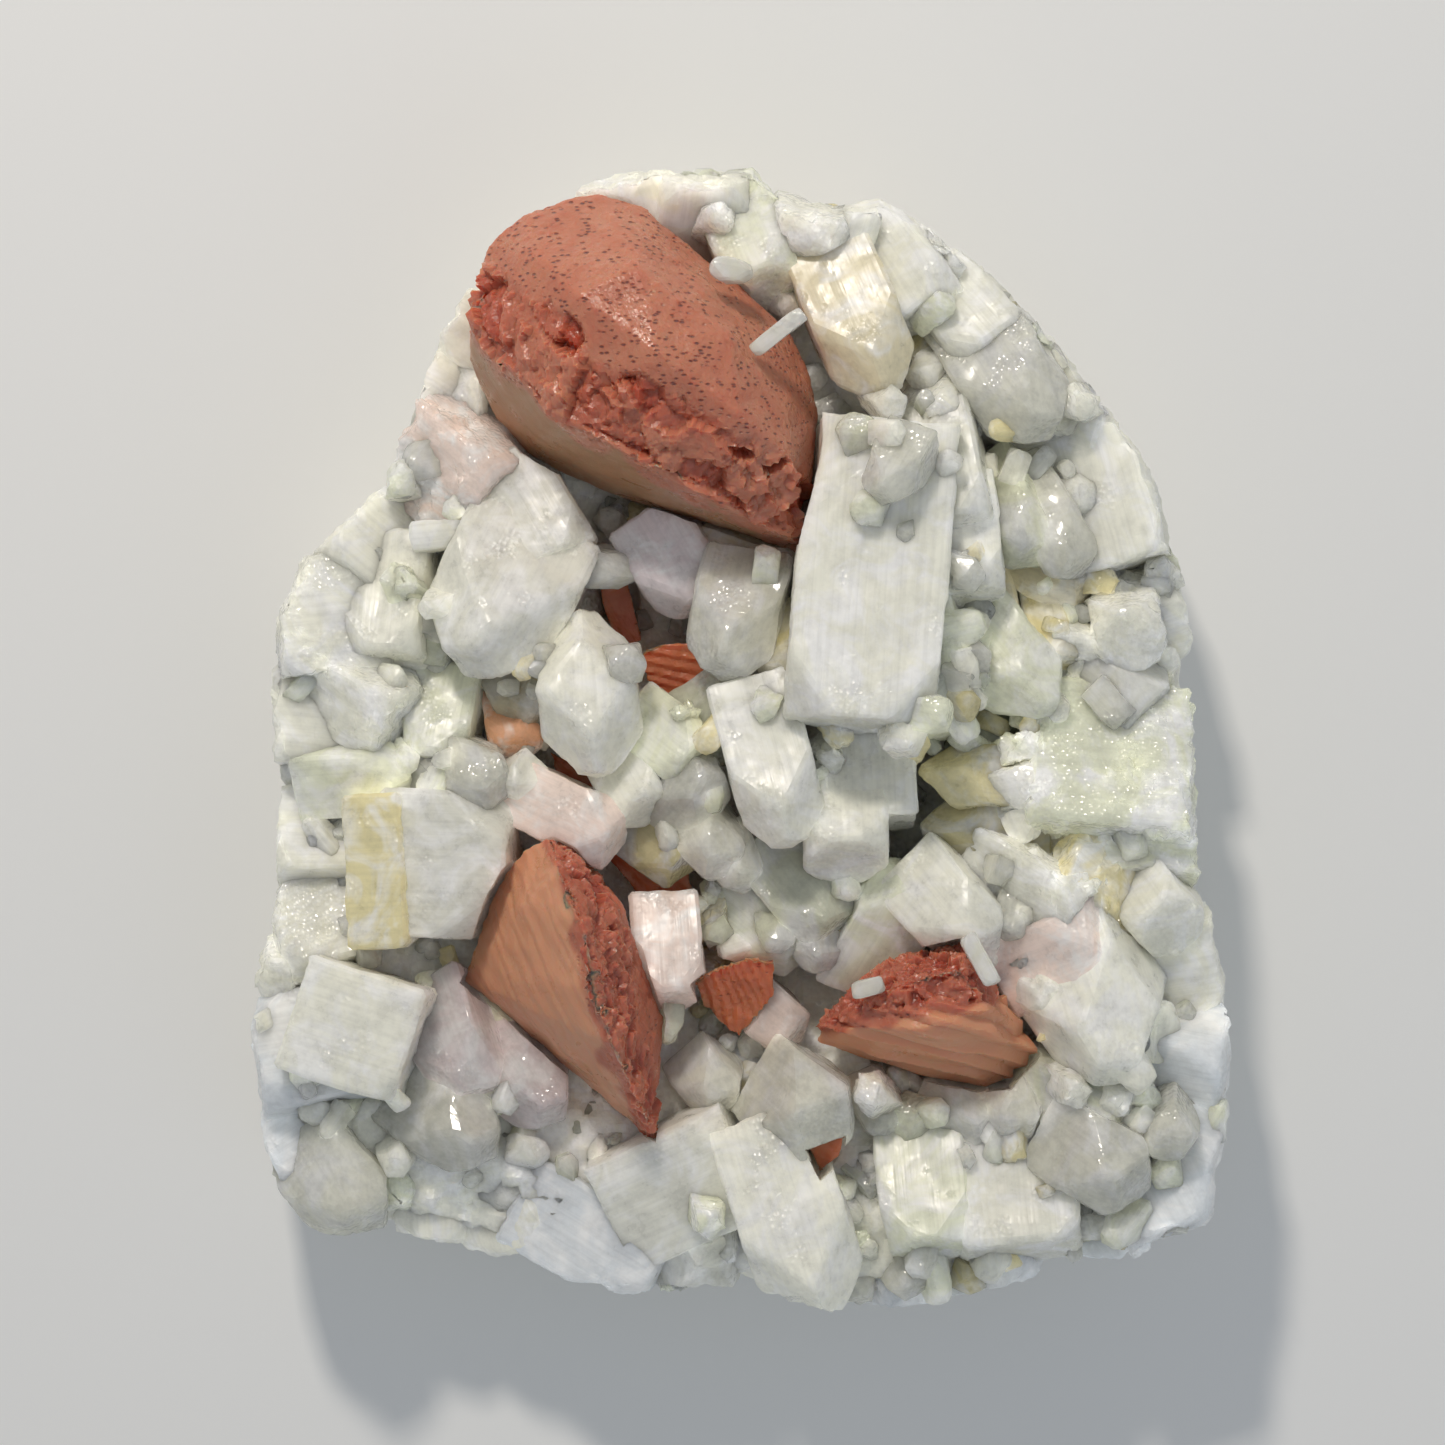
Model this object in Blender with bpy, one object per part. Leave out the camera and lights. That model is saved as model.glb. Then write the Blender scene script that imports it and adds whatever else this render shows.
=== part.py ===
"""Heulandite on apophyllite: a cabinet specimen that lies on its sawn back.

The plate is one intergrown solid of pale apophyllite. Its blocky crystals are square prisms whose corners
are cut by four steep pyramid faces. Coral red heulandite crystals sit in sockets in the plate, and a few
loose-looking apophyllite slivers sit on the heulandite.

The script works in millimetres with +Z towards the viewer, +Y to the top of the specimen and the origin in
the middle of the flat back. MM turns the lengths into Blender's metres.
"""

import math
import random
from typing import NamedTuple

import bmesh
import bpy
from mathutils import Matrix, Vector
from mathutils.bvhtree import BVHTree

MM = 0.001

# Driving sizes of the specimen, in millimetres.
FIT_GAP = 0.35
PYRAMID_ANGLE = 60.5
SOCKET_RAISE = 7.0
ROCK_JITTER = 0.9
ROCK_INWARD = 0.012
ROCK_LIFT = 0.6
ROCK_SEED = 11
WELD = 0.002
ABOVE_ALL = 80.0
SLIVER_ROOM = 4.0

# The plate's silhouette seen from the front, clockwise from the top left.
SILHOUETTE = [
    (-15.0, 57.6), (-9.2, 58.6), (-4.0, 58.4), (1.2, 58.6), (3.6, 56.2), (9.5, 55.0), (14.2, 55.6),
    (19.6, 52.6), (24.4, 49.0), (29.3, 44.6), (32.6, 40.4), (36.6, 35.2), (41.0, 29.8), (43.2, 24.0),
    (44.8, 17.4), (46.2, 10.6), (46.4, 3.6), (46.2, -3.0), (46.6, -10.6), (48.0, -16.6), (49.4, -23.0),
    (50.2, -32.0), (49.4, -41.0), (47.8, -49.6), (43.4, -50.4), (39.0, -52.8), (33.0, -53.0),
    (27.0, -56.2), (18.8, -58.0), (10.6, -59.0), (3.8, -56.8), (-3.6, -55.4), (-8.6, -56.8),
    (-17.6, -55.0), (-26.4, -52.4), (-36.2, -50.2), (-45.0, -50.0), (-47.6, -45.6), (-49.2, -38.6),
    (-50.2, -30.6), (-49.4, -24.6), (-47.4, -16.0), (-47.2, -6.6), (-48.0, 3.4), (-47.6, 13.0),
    (-44.0, 19.6), (-36.6, 26.2), (-33.6, 33.4), (-30.6, 42.0), (-26.0, 49.6), (-21.0, 54.0),
]

# The plate's own profile, from the back to the bottom of the pocket: share of the silhouette, height.
PLATE_RINGS = [
    (0.90, 0.0), (0.95, 5.0), (0.985, 11.0), (0.95, 17.5), (0.84, 19.5), (0.62, 16.5), (0.34, 11.5),
]
POCKET_FLOOR = 10.0

# The broken outer face that every rim crystal ends at, in the same form as the plate's profile.
RIM_RINGS = [
    (0.905, -1.0), (0.955, 5.0), (0.995, 12.0), (1.0, 19.0), (0.975, 25.0), (0.93, 32.0), (0.88, 45.0),
]


class Crystal(NamedTuple):
    """One apophyllite prism. Place is its middle, size is across, deep and long, aim is the bearing of its
    tip from +X, the tip's rise above the plate and the roll about its axis. Tip is how far the pyramid has
    grown, from 0, a flat end, to 1, a point."""

    name: str
    place: tuple
    size: tuple
    aim: tuple
    tip: float
    two_ended: bool = False


CRYSTALS = [
    # Along the top edge.
    Crystal("top_left_crest", (-10.6, 54.4, 19.0), (9.5, 9.0, 12.0), (110, 35, 20), 0.4),
    Crystal("top_crest", (-4.1, 54.6, 20.0), (9.0, 9.0, 12.0), (80, 45, 10), 0.3),
    Crystal("top_notch_block", (0.4, 51.6, 21.0), (8.0, 8.0, 15.0), (-70, 30, 0), 0.35),
    Crystal("frosted_end", (7.4, 53.1, 22.5), (6.5, 6.5, 12.0), (-100, 75, 30), 0.35),
    Crystal("upper_pointed_prism", (11.4, 42.3, 25.0), (9.0, 8.0, 18.0), (-68, 22, 0), 0.8),
    Crystal("crest_right_inner", (15.4, 48.6, 19.5), (10.0, 10.0, 15.0), (-60, 20, 15), 0.3),
    Crystal("crest_right_outer", (21.9, 44.4, 19.5), (10.0, 9.0, 15.0), (-50, 25, -10), 0.3),
    Crystal("clear_window", (26.9, 36.8, 23.0), (10.0, 9.0, 15.0), (-60, 30, 5), 0.7),
    Crystal("rim_upper_right", (32.8, 35.0, 17.5), (12.0, 10.0, 12.0), (-20, 20, 10), 0.25),
    Crystal("rim_smooth_block", (36.8, 24.3, 18.5), (13.0, 11.0, 14.0), (-75, 8, 15), 0.15),
    Crystal("small_bright_end", (19.9, 33.8, 22.0), (5.5, 5.5, 9.0), (-80, 60, 20), 0.4),
    Crystal("behind_bright_end", (20.9, 39.3, 19.0), (7.0, 6.0, 10.0), (-60, 30, 0), 0.5),
    # Around the large striated prism, right of the middle.
    Crystal("large_striated", (12.9, 16.6, 27.0), (15.0, 12.0, 30.0), (-95, 8, 0), 0.35),
    Crystal("striated_foot", (17.4, 8.8, 22.5), (12.0, 10.0, 17.0), (-75, 14, 12), 0.6),
    Crystal("rider_on_striated", (15.4, 27.4, 33.5), (5.5, 5.0, 8.0), (-120, 25, 20), 0.6),
    Crystal("beside_striated_upper", (20.9, 27.3, 25.0), (7.0, 7.0, 13.0), (-80, 25, 10), 0.4),
    Crystal("beside_striated_lower", (21.9, 20.3, 24.0), (8.0, 8.0, 12.0), (-85, 20, 0), 0.3),
    Crystal("twin_left", (27.4, 23.3, 22.0), (7.0, 7.0, 12.0), (-70, 35, 25), 0.6),
    Crystal("twin_right", (30.9, 22.3, 22.0), (6.0, 7.0, 13.0), (-60, 30, 0), 0.6),
    Crystal("twin_foot", (32.0, 17.6, 19.0), (7.0, 7.0, 9.0), (-30, 30, 10), 0.5),
    Crystal("ledge_prism", (24.6, 15.3, 18.5), (6.0, 6.0, 9.0), (-75, 15, 0), 0.3),
    Crystal("pointed_right", (27.1, 7.5, 22.5), (9.0, 8.0, 13.0), (-50, 32, 0), 0.8),
    Crystal("honey_prism", (31.4, 11.8, 20.0), (4.5, 4.5, 9.0), (-80, 30, 20), 0.4),
    Crystal("pearly_end", (38.9, 12.3, 20.0), (7.0, 7.0, 10.0), (-90, 65, 10), 0.35),
    Crystal("rim_right_middle", (41.6, 13.6, 15.0), (9.0, 9.0, 10.0), (20, 20, 30), 0.3),
    Crystal("grey_notch", (36.9, 6.3, 18.0), (8.0, 8.0, 12.0), (-40, 20, 30), 0.4),
    # The coarse mass on the right and the two points that leave it.
    Crystal("right_mass", (36.9, -2.9, 17.5), (15.0, 13.0, 18.0), (175, 9, 20), 0.15),
    Crystal("right_mass_low", (40.4, -10.2, 15.5), (10.0, 10.0, 11.0), (170, 10, 30), 0.2),
    Crystal("left_pointer_upper", (24.4, -3.7, 21.0), (6.5, 6.0, 13.0), (172, 15, 20), 0.85),
    Crystal("left_pointer_lower", (24.4, -8.5, 20.0), (6.0, 6.0, 13.0), (180, 12, 0), 0.85),
    Crystal("above_pointer", (24.4, 0.8, 18.0), (5.0, 5.0, 8.0), (-130, 30, 15), 0.6),
    Crystal("frosted_middle", (20.9, -16.5, 23.0), (8.5, 7.0, 12.0), (-50, 32, 10), 0.6),
    Crystal("smooth_leaning", (14.4, -18.7, 18.5), (8.0, 7.0, 14.0), (60, 22, 10), 0.5),
    Crystal("coarse_inner", (28.9, -15.7, 20.0), (11.0, 9.0, 13.0), (-30, 20, 20), 0.3),
    Crystal("coarse_outer", (34.9, -15.2, 19.0), (10.0, 9.0, 12.0), (140, 25, 30), 0.4),
    Crystal("right_small_block", (42.0, -16.2, 20.0), (7.0, 7.0, 9.0), (-60, 55, 15), 0.3),
    Crystal("faceted_boss", (35.9, -27.2, 22.0), (13.0, 11.0, 15.0), (-75, 35, 30), 0.75),
    Crystal("boss_shoulder", (32.0, -20.7, 21.0), (9.0, 9.0, 12.0), (20, 30, 10), 0.4),
    Crystal("rim_right_low_upper", (45.0, -22.4, 15.0), (10.0, 10.0, 9.0), (10, 12, 20), 0.3),
    Crystal("rim_right_low_middle", (44.2, -32.0, 16.0), (11.0, 10.0, 12.0), (-10, 18, 35), 0.3),
    Crystal("rim_right_low_lower", (44.0, -40.4, 16.0), (10.0, 9.0, 11.0), (-20, 20, 10), 0.4),
    Crystal("corner_lower_right", (42.4, -45.6, 16.5), (11.0, 10.0, 11.0), (-60, 20, 0), 0.3),
    # Along the lower edge, right to left.
    Crystal("round_end", (43.1, -38.2, 21.5), (5.0, 5.0, 8.0), (-100, 60, 45), 0.5),
    Crystal("bright_low_right", (35.7, -41.7, 22.0), (9.0, 8.0, 11.0), (-35, 40, 10), 0.6),
    Crystal("ridge_low_right", (33.9, -35.2, 19.5), (7.0, 7.0, 12.0), (-20, 25, 30), 0.6),
    Crystal("lower_rim_right", (36.6, -48.4, 13.0), (10.0, 9.0, 10.0), (-50, 5, 20), 0.4),
    Crystal("bottom_block", (27.9, -45.2, 18.0), (12.0, 9.0, 13.0), (-85, 20, 0), 0.15),
    Crystal("bottom_column", (18.9, -44.2, 18.0), (9.0, 8.0, 15.0), (-85, 25, 10), 0.4),
    Crystal("lower_rim_middle", (24.4, -50.4, 13.0), (12.0, 9.0, 11.0), (-80, 0, 15), 0.3),
    Crystal("lower_rim_round", (17.0, -53.0, 13.0), (9.0, 9.0, 10.0), (-95, 8, 30), 0.6),
    Crystal("blue_grey_point", (11.4, -55.4, 9.0), (4.0, 4.0, 8.5), (-88, 0, 20), 0.8),
    Crystal("long_ribbed", (5.4, -48.4, 21.5), (11.0, 9.0, 22.0), (-72, 12, 0), 0.85),
    Crystal("shaded_block", (-6.1, -44.2, 17.5), (12.0, 9.0, 15.0), (25, 10, 10), 0.3),
    Crystal("below_shaded_block", (-4.1, -50.6, 14.0), (9.0, 8.0, 11.0), (-100, 5, 20), 0.5),
    Crystal("lower_left_slab", (-15.1, -49.8, 15.0), (10.0, 9.0, 16.0), (-30, 8, 10), 0.5),
    Crystal("lower_left_fill", (-24.1, -46.2, 12.5), (10.0, 9.0, 12.0), (-70, 5, 25), 0.3),
    Crystal("bottom_left_rim", (-31.1, -46.4, 12.0), (8.0, 8.0, 10.0), (-90, 5, 10), 0.3),
    Crystal("orange_eyed", (-40.6, -44.6, 17.0), (10.0, 9.0, 11.0), (-55, 35, 20), 0.6),
    Crystal("left_corner", (-43.6, -40.6, 13.0), (10.0, 10.0, 11.0), (-150, 12, 10), 0.3),
    # Up the left edge.
    Crystal("left_square_slab", (-38.6, -28.7, 21.5), (12.0, 9.0, 12.5), (-18, 6, 0), 0.0),
    Crystal("left_rim_low", (-44.4, -31.7, 15.5), (12.0, 11.0, 11.0), (190, 12, 15), 0.3),
    Crystal("lilac_prism", (-28.6, -30.2, 18.0), (8.0, 8.0, 13.0), (-70, 25, 20), 0.6),
    Crystal("lilac_end", (-21.6, -34.2, 17.5), (8.5, 8.0, 11.0), (-50, 40, 10), 0.7),
    Crystal("flecked_prism", (-29.6, -38.2, 18.5), (9.0, 8.0, 12.0), (-35, 35, 0), 0.7),
    Crystal("dull_grey", (-24.1, -42.4, 13.0), (9.0, 8.0, 11.0), (-60, 20, 10), 0.4),
    Crystal("honey_slab", (-36.3, -12.7, 21.5), (15.5, 9.0, 6.0), (3, 5, 0), 0.0),
    Crystal("pale_block", (-29.3, -12.2, 20.5), (15.0, 10.0, 13.0), (-2, 8, 0), 0.45),
    Crystal("bright_pair_right", (-27.1, -3.2, 21.5), (7.0, 6.5, 9.0), (-25, 45, 10), 0.6),
    Crystal("bright_pair_left", (-30.6, -2.7, 19.0), (5.5, 5.5, 8.0), (-90, 40, 0), 0.5),
    Crystal("smooth_above_pair", (-30.1, 2.3, 18.0), (7.0, 7.0, 10.0), (-100, 25, 10), 0.4),
    Crystal("left_point", (-38.6, -3.2, 19.0), (7.0, 7.0, 12.0), (5, 15, 20), 0.7),
    Crystal("left_rim_middle", (-42.6, 2.3, 15.5), (10.0, 10.0, 12.0), (175, 8, 10), 0.2),
    Crystal("left_rim_shelf", (-38.4, 4.6, 19.0), (8.0, 8.0, 11.0), (-30, 25, 30), 0.3),
    Crystal("left_rim_below_point", (-42.8, -10.7, 14.0), (10.0, 10.0, 12.0), (180, 8, 30), 0.2),
    Crystal("left_rim_above_slab", (-42.6, -18.6, 15.5), (10.0, 9.0, 11.0), (200, 15, 15), 0.3),
    Crystal("bright_chip", (-47.2, -22.2, 17.0), (4.5, 4.5, 7.0), (-100, 60, 10), 0.3),
    Crystal("frosted_block", (-42.0, 12.8, 17.5), (12.0, 10.0, 11.0), (185, 12, 5), 0.15),
    Crystal("left_upper_prism", (-35.1, 14.3, 18.5), (8.0, 8.0, 13.0), (-95, 20, 15), 0.3),
    Crystal("left_upper_crest", (-37.4, 19.2, 15.5), (10.0, 10.0, 11.0), (140, 15, 25), 0.2),
    Crystal("great_smooth", (-24.1, 14.3, 22.0), (14.0, 10.0, 16.0), (-115, 28, 0), 0.7),
    Crystal("above_great_smooth", (-21.6, 23.0, 19.5), (10.0, 8.0, 12.0), (-60, 15, 0), 0.3),
    Crystal("splinter", (-14.1, 17.8, 20.5), (4.0, 4.0, 9.0), (-15, 15, 20), 0.9),
    Crystal("pink_lump", (-28.6, 27.8, 17.5), (11.0, 9.0, 12.0), (-40, 20, 30), 0.3),
    Crystal("thin_bar", (-29.1, 21.0, 22.0), (3.0, 3.0, 8.0), (5, 5, 0), 0.0),
    Crystal("upper_left_rim_low", (-30.0, 34.2, 13.5), (9.0, 9.0, 10.0), (150, 12, 20), 0.2),
    Crystal("upper_left_rim_high", (-26.6, 41.6, 13.0), (8.0, 8.0, 9.0), (150, 12, 5), 0.2),
    # The middle, around the pocket.
    Crystal("double_point", (-15.3, 5.0, 23.5), (10.0, 9.0, 17.0), (-85, 12, 0), 0.8, True),
    Crystal("bright_centre", (-0.4, 12.3, 23.5), (9.0, 8.5, 13.0), (-105, 32, 10), 0.7),
    Crystal("dusky_prism", (-6.6, 18.3, 19.5), (8.5, 7.0, 11.0), (-60, 15, 10), 0.6),
    Crystal("under_coral", (0.9, 18.8, 18.5), (7.0, 6.0, 10.0), (-20, 15, 0), 0.3),
    Crystal("yellow_cluster", (5.4, 8.8, 22.5), (7.0, 6.0, 9.0), (-70, 45, 20), 0.6),
    Crystal("ribbed_prism", (2.9, -2.2, 25.5), (8.5, 8.0, 17.0), (-75, 18, 0), 0.75),
    Crystal("round_middle", (-4.8, -4.7, 21.5), (7.0, 6.5, 9.0), (50, 45, 10), 0.7),
    Crystal("square_right", (10.4, -7.7, 22.5), (8.5, 8.0, 10.0), (-88, 35, 0), 0.3),
    Crystal("tall_plate", (12.9, -1.7, 20.5), (9.0, 8.0, 13.0), (-88, 15, 0), 0.1),
    Crystal("middle_block_left", (-7.1, 0.3, 20.5), (7.0, 7.0, 9.0), (-40, 30, 0), 0.4),
    Crystal("middle_block_right", (-2.6, 2.3, 20.5), (6.0, 6.0, 8.0), (-70, 40, 20), 0.4),
    Crystal("little_square", (-11.6, -3.7, 20.5), (6.0, 5.5, 9.0), (-60, 35, 0), 0.4),
    Crystal("chisel_end", (-17.6, -7.2, 21.5), (7.0, 6.0, 12.0), (-25, 20, 0), 0.5),
    Crystal("tan_under_chisel", (-8.6, -9.7, 18.0), (7.0, 6.0, 9.0), (-40, 25, 10), 0.5),
    Crystal("bright_middle_left", (-3.1, -9.7, 20.5), (6.0, 6.0, 8.0), (-60, 40, 20), 0.6),
    Crystal("bright_middle_right", (-0.6, -11.7, 19.5), (5.0, 5.0, 7.0), (-70, 45, 0), 0.6),
    Crystal("low_pointed", (5.9, -14.2, 19.5), (8.0, 6.0, 12.0), (-50, 20, 0), 0.6),
    Crystal("low_smooth", (2.4, -17.7, 16.5), (8.0, 7.0, 11.0), (-40, 20, 20), 0.5),
    Crystal("flecked_tip", (7.4, -19.7, 18.5), (5.5, 5.0, 8.0), (-60, 40, 10), 0.6),
    Crystal("pink_block", (-7.3, -21.0, 20.5), (7.0, 6.5, 11.0), (-85, 25, 0), 0.4),
    Crystal("fan_mate", (2.6, -27.2, 16.5), (6.0, 5.0, 9.0), (-40, 25, 0), 0.5),
    Crystal("low_bright", (-3.1, -34.2, 17.5), (6.0, 5.5, 7.0), (-60, 40, 20), 0.6),
    Crystal("low_window", (6.2, -36.5, 21.0), (9.5, 8.0, 10.0), (-40, 55, 10), 0.5),
    Crystal("low_row_1", (13.9, -36.7, 17.5), (5.0, 5.0, 7.0), (-60, 45, 0), 0.6),
    Crystal("low_row_2", (17.4, -38.7, 17.5), (5.0, 5.0, 7.0), (100, 45, 10), 0.6),
    Crystal("low_row_3", (22.4, -37.2, 18.5), (6.0, 6.0, 8.0), (-30, 45, 10), 0.6),
    Crystal("low_row_4", (27.4, -36.2, 19.5), (6.0, 6.0, 8.0), (-80, 40, 30), 0.6),
    Crystal("pocket_bead_1", (-16.6, -38.2, 14.5), (4.0, 4.0, 7.0), (-90, 50, 0), 0.7),
    Crystal("pocket_bead_2", (-14.6, -41.7, 14.5), (5.0, 5.0, 8.0), (-70, 50, 20), 0.7),
    Crystal("pocket_bead_3", (-18.1, -44.2, 14.0), (6.0, 5.0, 9.0), (-90, 40, 10), 0.7),
    Crystal("beige_behind", (-22.1, 5.3, 17.0), (7.0, 6.0, 9.0), (-60, 30, 0), 0.5),
    Crystal("orange_flecked", (-23.1, 1.8, 17.5), (5.5, 5.0, 7.0), (-80, 45, 0), 0.4),
]


CORAL = (0.55, 0.21, 0.13)
RUSSET = (0.47, 0.15, 0.10)
ORANGE = (0.62, 0.24, 0.12)
PALE_GREEN = (0.68, 0.72, 0.66)
CLEAR_WHITE = (0.80, 0.82, 0.80)
HEULANDITE_ROUGHNESS = 0.42
APOPHYLLITE_ROUGHNESS = 0.22


class Heulandite(NamedTuple):
    """One heulandite crystal as the hull of its corner points, with its colour. Raise is how far its socket
    is open above it."""

    name: str
    colour: tuple
    corners: list
    raise_socket: float


LARGE_HEULANDITE = Heulandite(
    "heulandite_large",
    CORAL,
    [
        # The edge that shows from the front, clockwise from the left end.
        (-25.4, 50.3, 26.0), (-22.1, 53.0, 26.0), (-17.6, 55.0, 25.5), (-14.1, 55.5, 25.5),
        (-9.6, 54.0, 25.5), (-4.1, 49.5, 25.5), (0.4, 45.8, 25.5), (4.9, 41.8, 25.0),
        (7.1, 37.3, 25.0), (8.1, 33.1, 25.0), (7.7, 27.3, 24.0), (5.9, 19.6, 22.0),
        (3.1, 19.6, 21.0), (-0.8, 21.2, 20.0), (-4.6, 22.2, 19.0), (-9.7, 24.0, 18.0),
        (-14.8, 25.5, 18.0), (-18.6, 27.3, 18.0), (-22.2, 29.3, 18.0), (-25.0, 32.4, 18.5),
        (-26.3, 35.0, 19.5), (-27.8, 38.3, 21.0), (-27.5, 40.3, 23.0),
        # The upper edge of the smooth side face.
        (-27.5, 44.6, 27.0), (-26.8, 41.1, 29.0), (-25.0, 39.0, 31.0), (-21.7, 36.2, 33.0),
        (-18.9, 32.4, 34.5), (-14.8, 30.1, 35.5), (-9.7, 27.3, 35.5), (-4.6, 24.5, 34.5),
        (0.5, 21.9, 32.0), (5.3, 19.9, 28.0),
        # The dome of the pitted face.
        (-16.0, 44.0, 37.0), (-8.0, 38.0, 39.6), (0.0, 32.0, 38.6), (5.0, 28.0, 34.5),
        (-20.0, 48.0, 32.5), (-10.0, 47.0, 35.5), (-1.0, 40.0, 36.5), (5.0, 34.0, 32.0),
        # The root inside the plate.
        (-22.0, 44.0, 12.0), (-12.0, 49.0, 12.0), (3.0, 34.0, 12.0), (2.0, 25.0, 11.0), (-14.0, 30.0, 11.0),
    ],
    SOCKET_RAISE,
)

WEDGE_HEULANDITE = Heulandite(
    "heulandite_wedge",
    RUSSET,
    [
        (-23.9, -12.7, 22.0), (-21.6, -9.9, 24.5), (-19.3, -8.9, 26.0), (-16.6, -10.2, 26.5),
        (-13.6, -13.2, 26.0), (-11.3, -16.2, 25.0), (-10.3, -20.2, 24.5), (-9.3, -24.7, 23.5),
        (-7.6, -27.5, 21.5), (-7.7, -35.7, 20.5), (-8.5, -40.2, 20.0), (-10.1, -39.7, 19.5),
        (-14.1, -36.3, 18.5), (-18.6, -32.3, 18.0), (-22.1, -28.9, 17.5), (-25.6, -26.3, 17.0),
        (-28.4, -24.2, 17.0), (-26.6, -18.7, 19.0), (-25.3, -15.2, 21.0),
        (-18.1, -12.2, 32.0), (-15.6, -17.7, 35.5), (-14.1, -23.7, 36.0), (-12.6, -29.7, 34.5),
        (-10.1, -35.7, 30.0), (-9.1, -38.0, 26.5), (-22.0, -16.0, 27.5),
        (-22.0, -18.0, 11.0), (-15.0, -14.0, 11.0), (-12.0, -34.0, 11.0), (-22.0, -24.0, 11.0),
    ],
    SOCKET_RAISE,
)

LOWER_HEULANDITE = Heulandite(
    "heulandite_lower_right",
    RUSSET,
    [
        (7.4, -28.2, 21.0), (10.9, -23.9, 22.5), (15.9, -20.7, 23.5), (22.4, -19.3, 24.0),
        (24.7, -21.9, 24.0), (26.2, -24.7, 23.0), (27.1, -26.9, 22.0), (30.4, -31.3, 20.5),
        (27.1, -34.7, 18.5), (23.9, -35.2, 18.0), (17.9, -34.2, 18.0), (11.9, -32.4, 18.0),
        (7.6, -30.7, 18.5),
        (11.9, -25.7, 27.5), (16.9, -23.2, 30.0), (21.9, -22.2, 30.0), (24.4, -25.7, 29.0),
        (10.9, -28.7, 26.0), (18.9, -28.2, 31.0), (25.9, -29.7, 26.5),
        (12.0, -27.0, 11.0), (22.0, -24.0, 11.0), (24.0, -31.0, 11.0), (14.0, -31.0, 11.0),
    ],
    SOCKET_RAISE,
)

FAN_HEULANDITE = Heulandite(
    "heulandite_fan",
    ORANGE,
    [
        (-5.1, -24.2, 20.0), (-4.1, -23.2, 21.0), (-2.1, -22.2, 22.0), (0.9, -21.2, 22.5),
        (3.7, -21.7, 22.0), (3.5, -25.7, 20.5), (0.9, -27.2, 19.5), (-0.1, -30.0, 18.0),
        (-2.1, -28.7, 18.0), (-4.1, -26.7, 18.5),
        (-2.0, -24.5, 12.0), (1.5, -24.5, 12.0), (-0.8, -28.0, 12.0),
    ],
    SOCKET_RAISE,
)

POCKET_HEULANDITES = [
    Heulandite(
        "heulandite_pocket_stack",
        ORANGE,
        [
            (-10.8, 8.9, 18.5), (-9.0, 10.1, 19.0), (-5.0, 10.5, 19.0), (-3.2, 7.8, 18.5),
            (-3.0, 4.2, 17.5), (-7.1, 3.9, 17.0), (-9.4, 5.6, 17.5),
            (-9.0, 8.0, 10.0), (-4.5, 8.5, 10.0), (-4.5, 5.0, 9.5), (-8.0, 5.0, 9.5),
        ],
        0.0,
    ),
    Heulandite(
        "heulandite_pocket_column",
        ORANGE,
        [
            (-15.2, 18.6, 16.5), (-12.4, 19.6, 16.5), (-11.0, 16.0, 16.0), (-9.6, 10.2, 15.5),
            (-12.6, 9.0, 15.0), (-14.2, 13.6, 16.0),
            (-13.6, 17.4, 8.5), (-11.6, 16.4, 8.5), (-11.0, 11.0, 8.5), (-12.6, 11.0, 8.5),
        ],
        0.0,
    ),
    Heulandite(
        "heulandite_pocket_sheet",
        ORANGE,
        [
            (-19.9, -0.4, 15.5), (-14.8, -2.4, 16.0), (-11.4, -7.6, 16.5), (-5.4, -12.2, 17.0),
            (-4.2, -15.8, 16.5), (-10.2, -16.4, 16.0), (-13.4, -11.4, 16.5), (-18.6, -5.0, 15.0),
            (-17.0, -3.0, 9.0), (-13.0, -5.0, 9.0), (-7.0, -13.0, 9.5), (-9.0, -15.0, 9.5),
        ],
        0.0,
    ),
    Heulandite(
        "heulandite_chip",
        ORANGE,
        [
            (6.3, -40.6, 21.0), (10.6, -39.4, 21.5), (10.1, -41.8, 20.0), (7.9, -43.8, 19.5),
            (8.0, -40.8, 14.0), (9.4, -41.2, 14.0), (8.2, -42.4, 14.0),
        ],
        SOCKET_RAISE,
    ),
]

class BlockRows(NamedTuple):
    """Small blocks set into a heulandite's face: the line that they follow, their rows' distances beside it,
    their size across, deep and long, how they point and how far their middles are sunk."""

    name: str
    line: list
    rows: list
    step: float
    size: tuple
    bearing: float
    sink: float
    seed: int


LARGE_MOSAIC = BlockRows(
    "large_mosaic",
    [(-18.6, 32.8), (-14.8, 30.6), (-9.7, 27.8), (-4.6, 25.0), (0.5, 22.4), (4.6, 20.8)],
    [0.0, 2.6, 5.0, 7.2], 2.9, (3.0, 3.2, 4.2), -66.0, 0.9, 5,
)
WEDGE_MOSAIC = BlockRows(
    "wedge_mosaic",
    [(-18.2, -10.8), (-15.6, -16.2), (-14.1, -21.7), (-12.6, -27.7), (-10.8, -33.7), (-9.2, -37.6)],
    [-1.0, 1.4], 2.5, (2.4, 2.2, 3.2), -78.0, 0.7, 8,
)
LOWER_MOSAIC = BlockRows(
    "lower_mosaic",
    [(9.6, -27.4), (14.6, -24.6), (19.8, -22.9), (23.2, -22.2)],
    [-2.4, 0.0], 2.5, (2.2, 2.0, 2.8), 35.0, 0.6, 9,
)

RIDGE_STARTS = [(9.4, -30.6, 21.6), (9.8, -30.0, 24.0), (11.2, -29.2, 26.4)]
RIDGE_ENDS = [(27.4, -33.0, 20.6), (28.6, -32.0, 22.6), (28.0, -30.4, 24.8)]
RIDGE_WIDTH = 1.9

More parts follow.
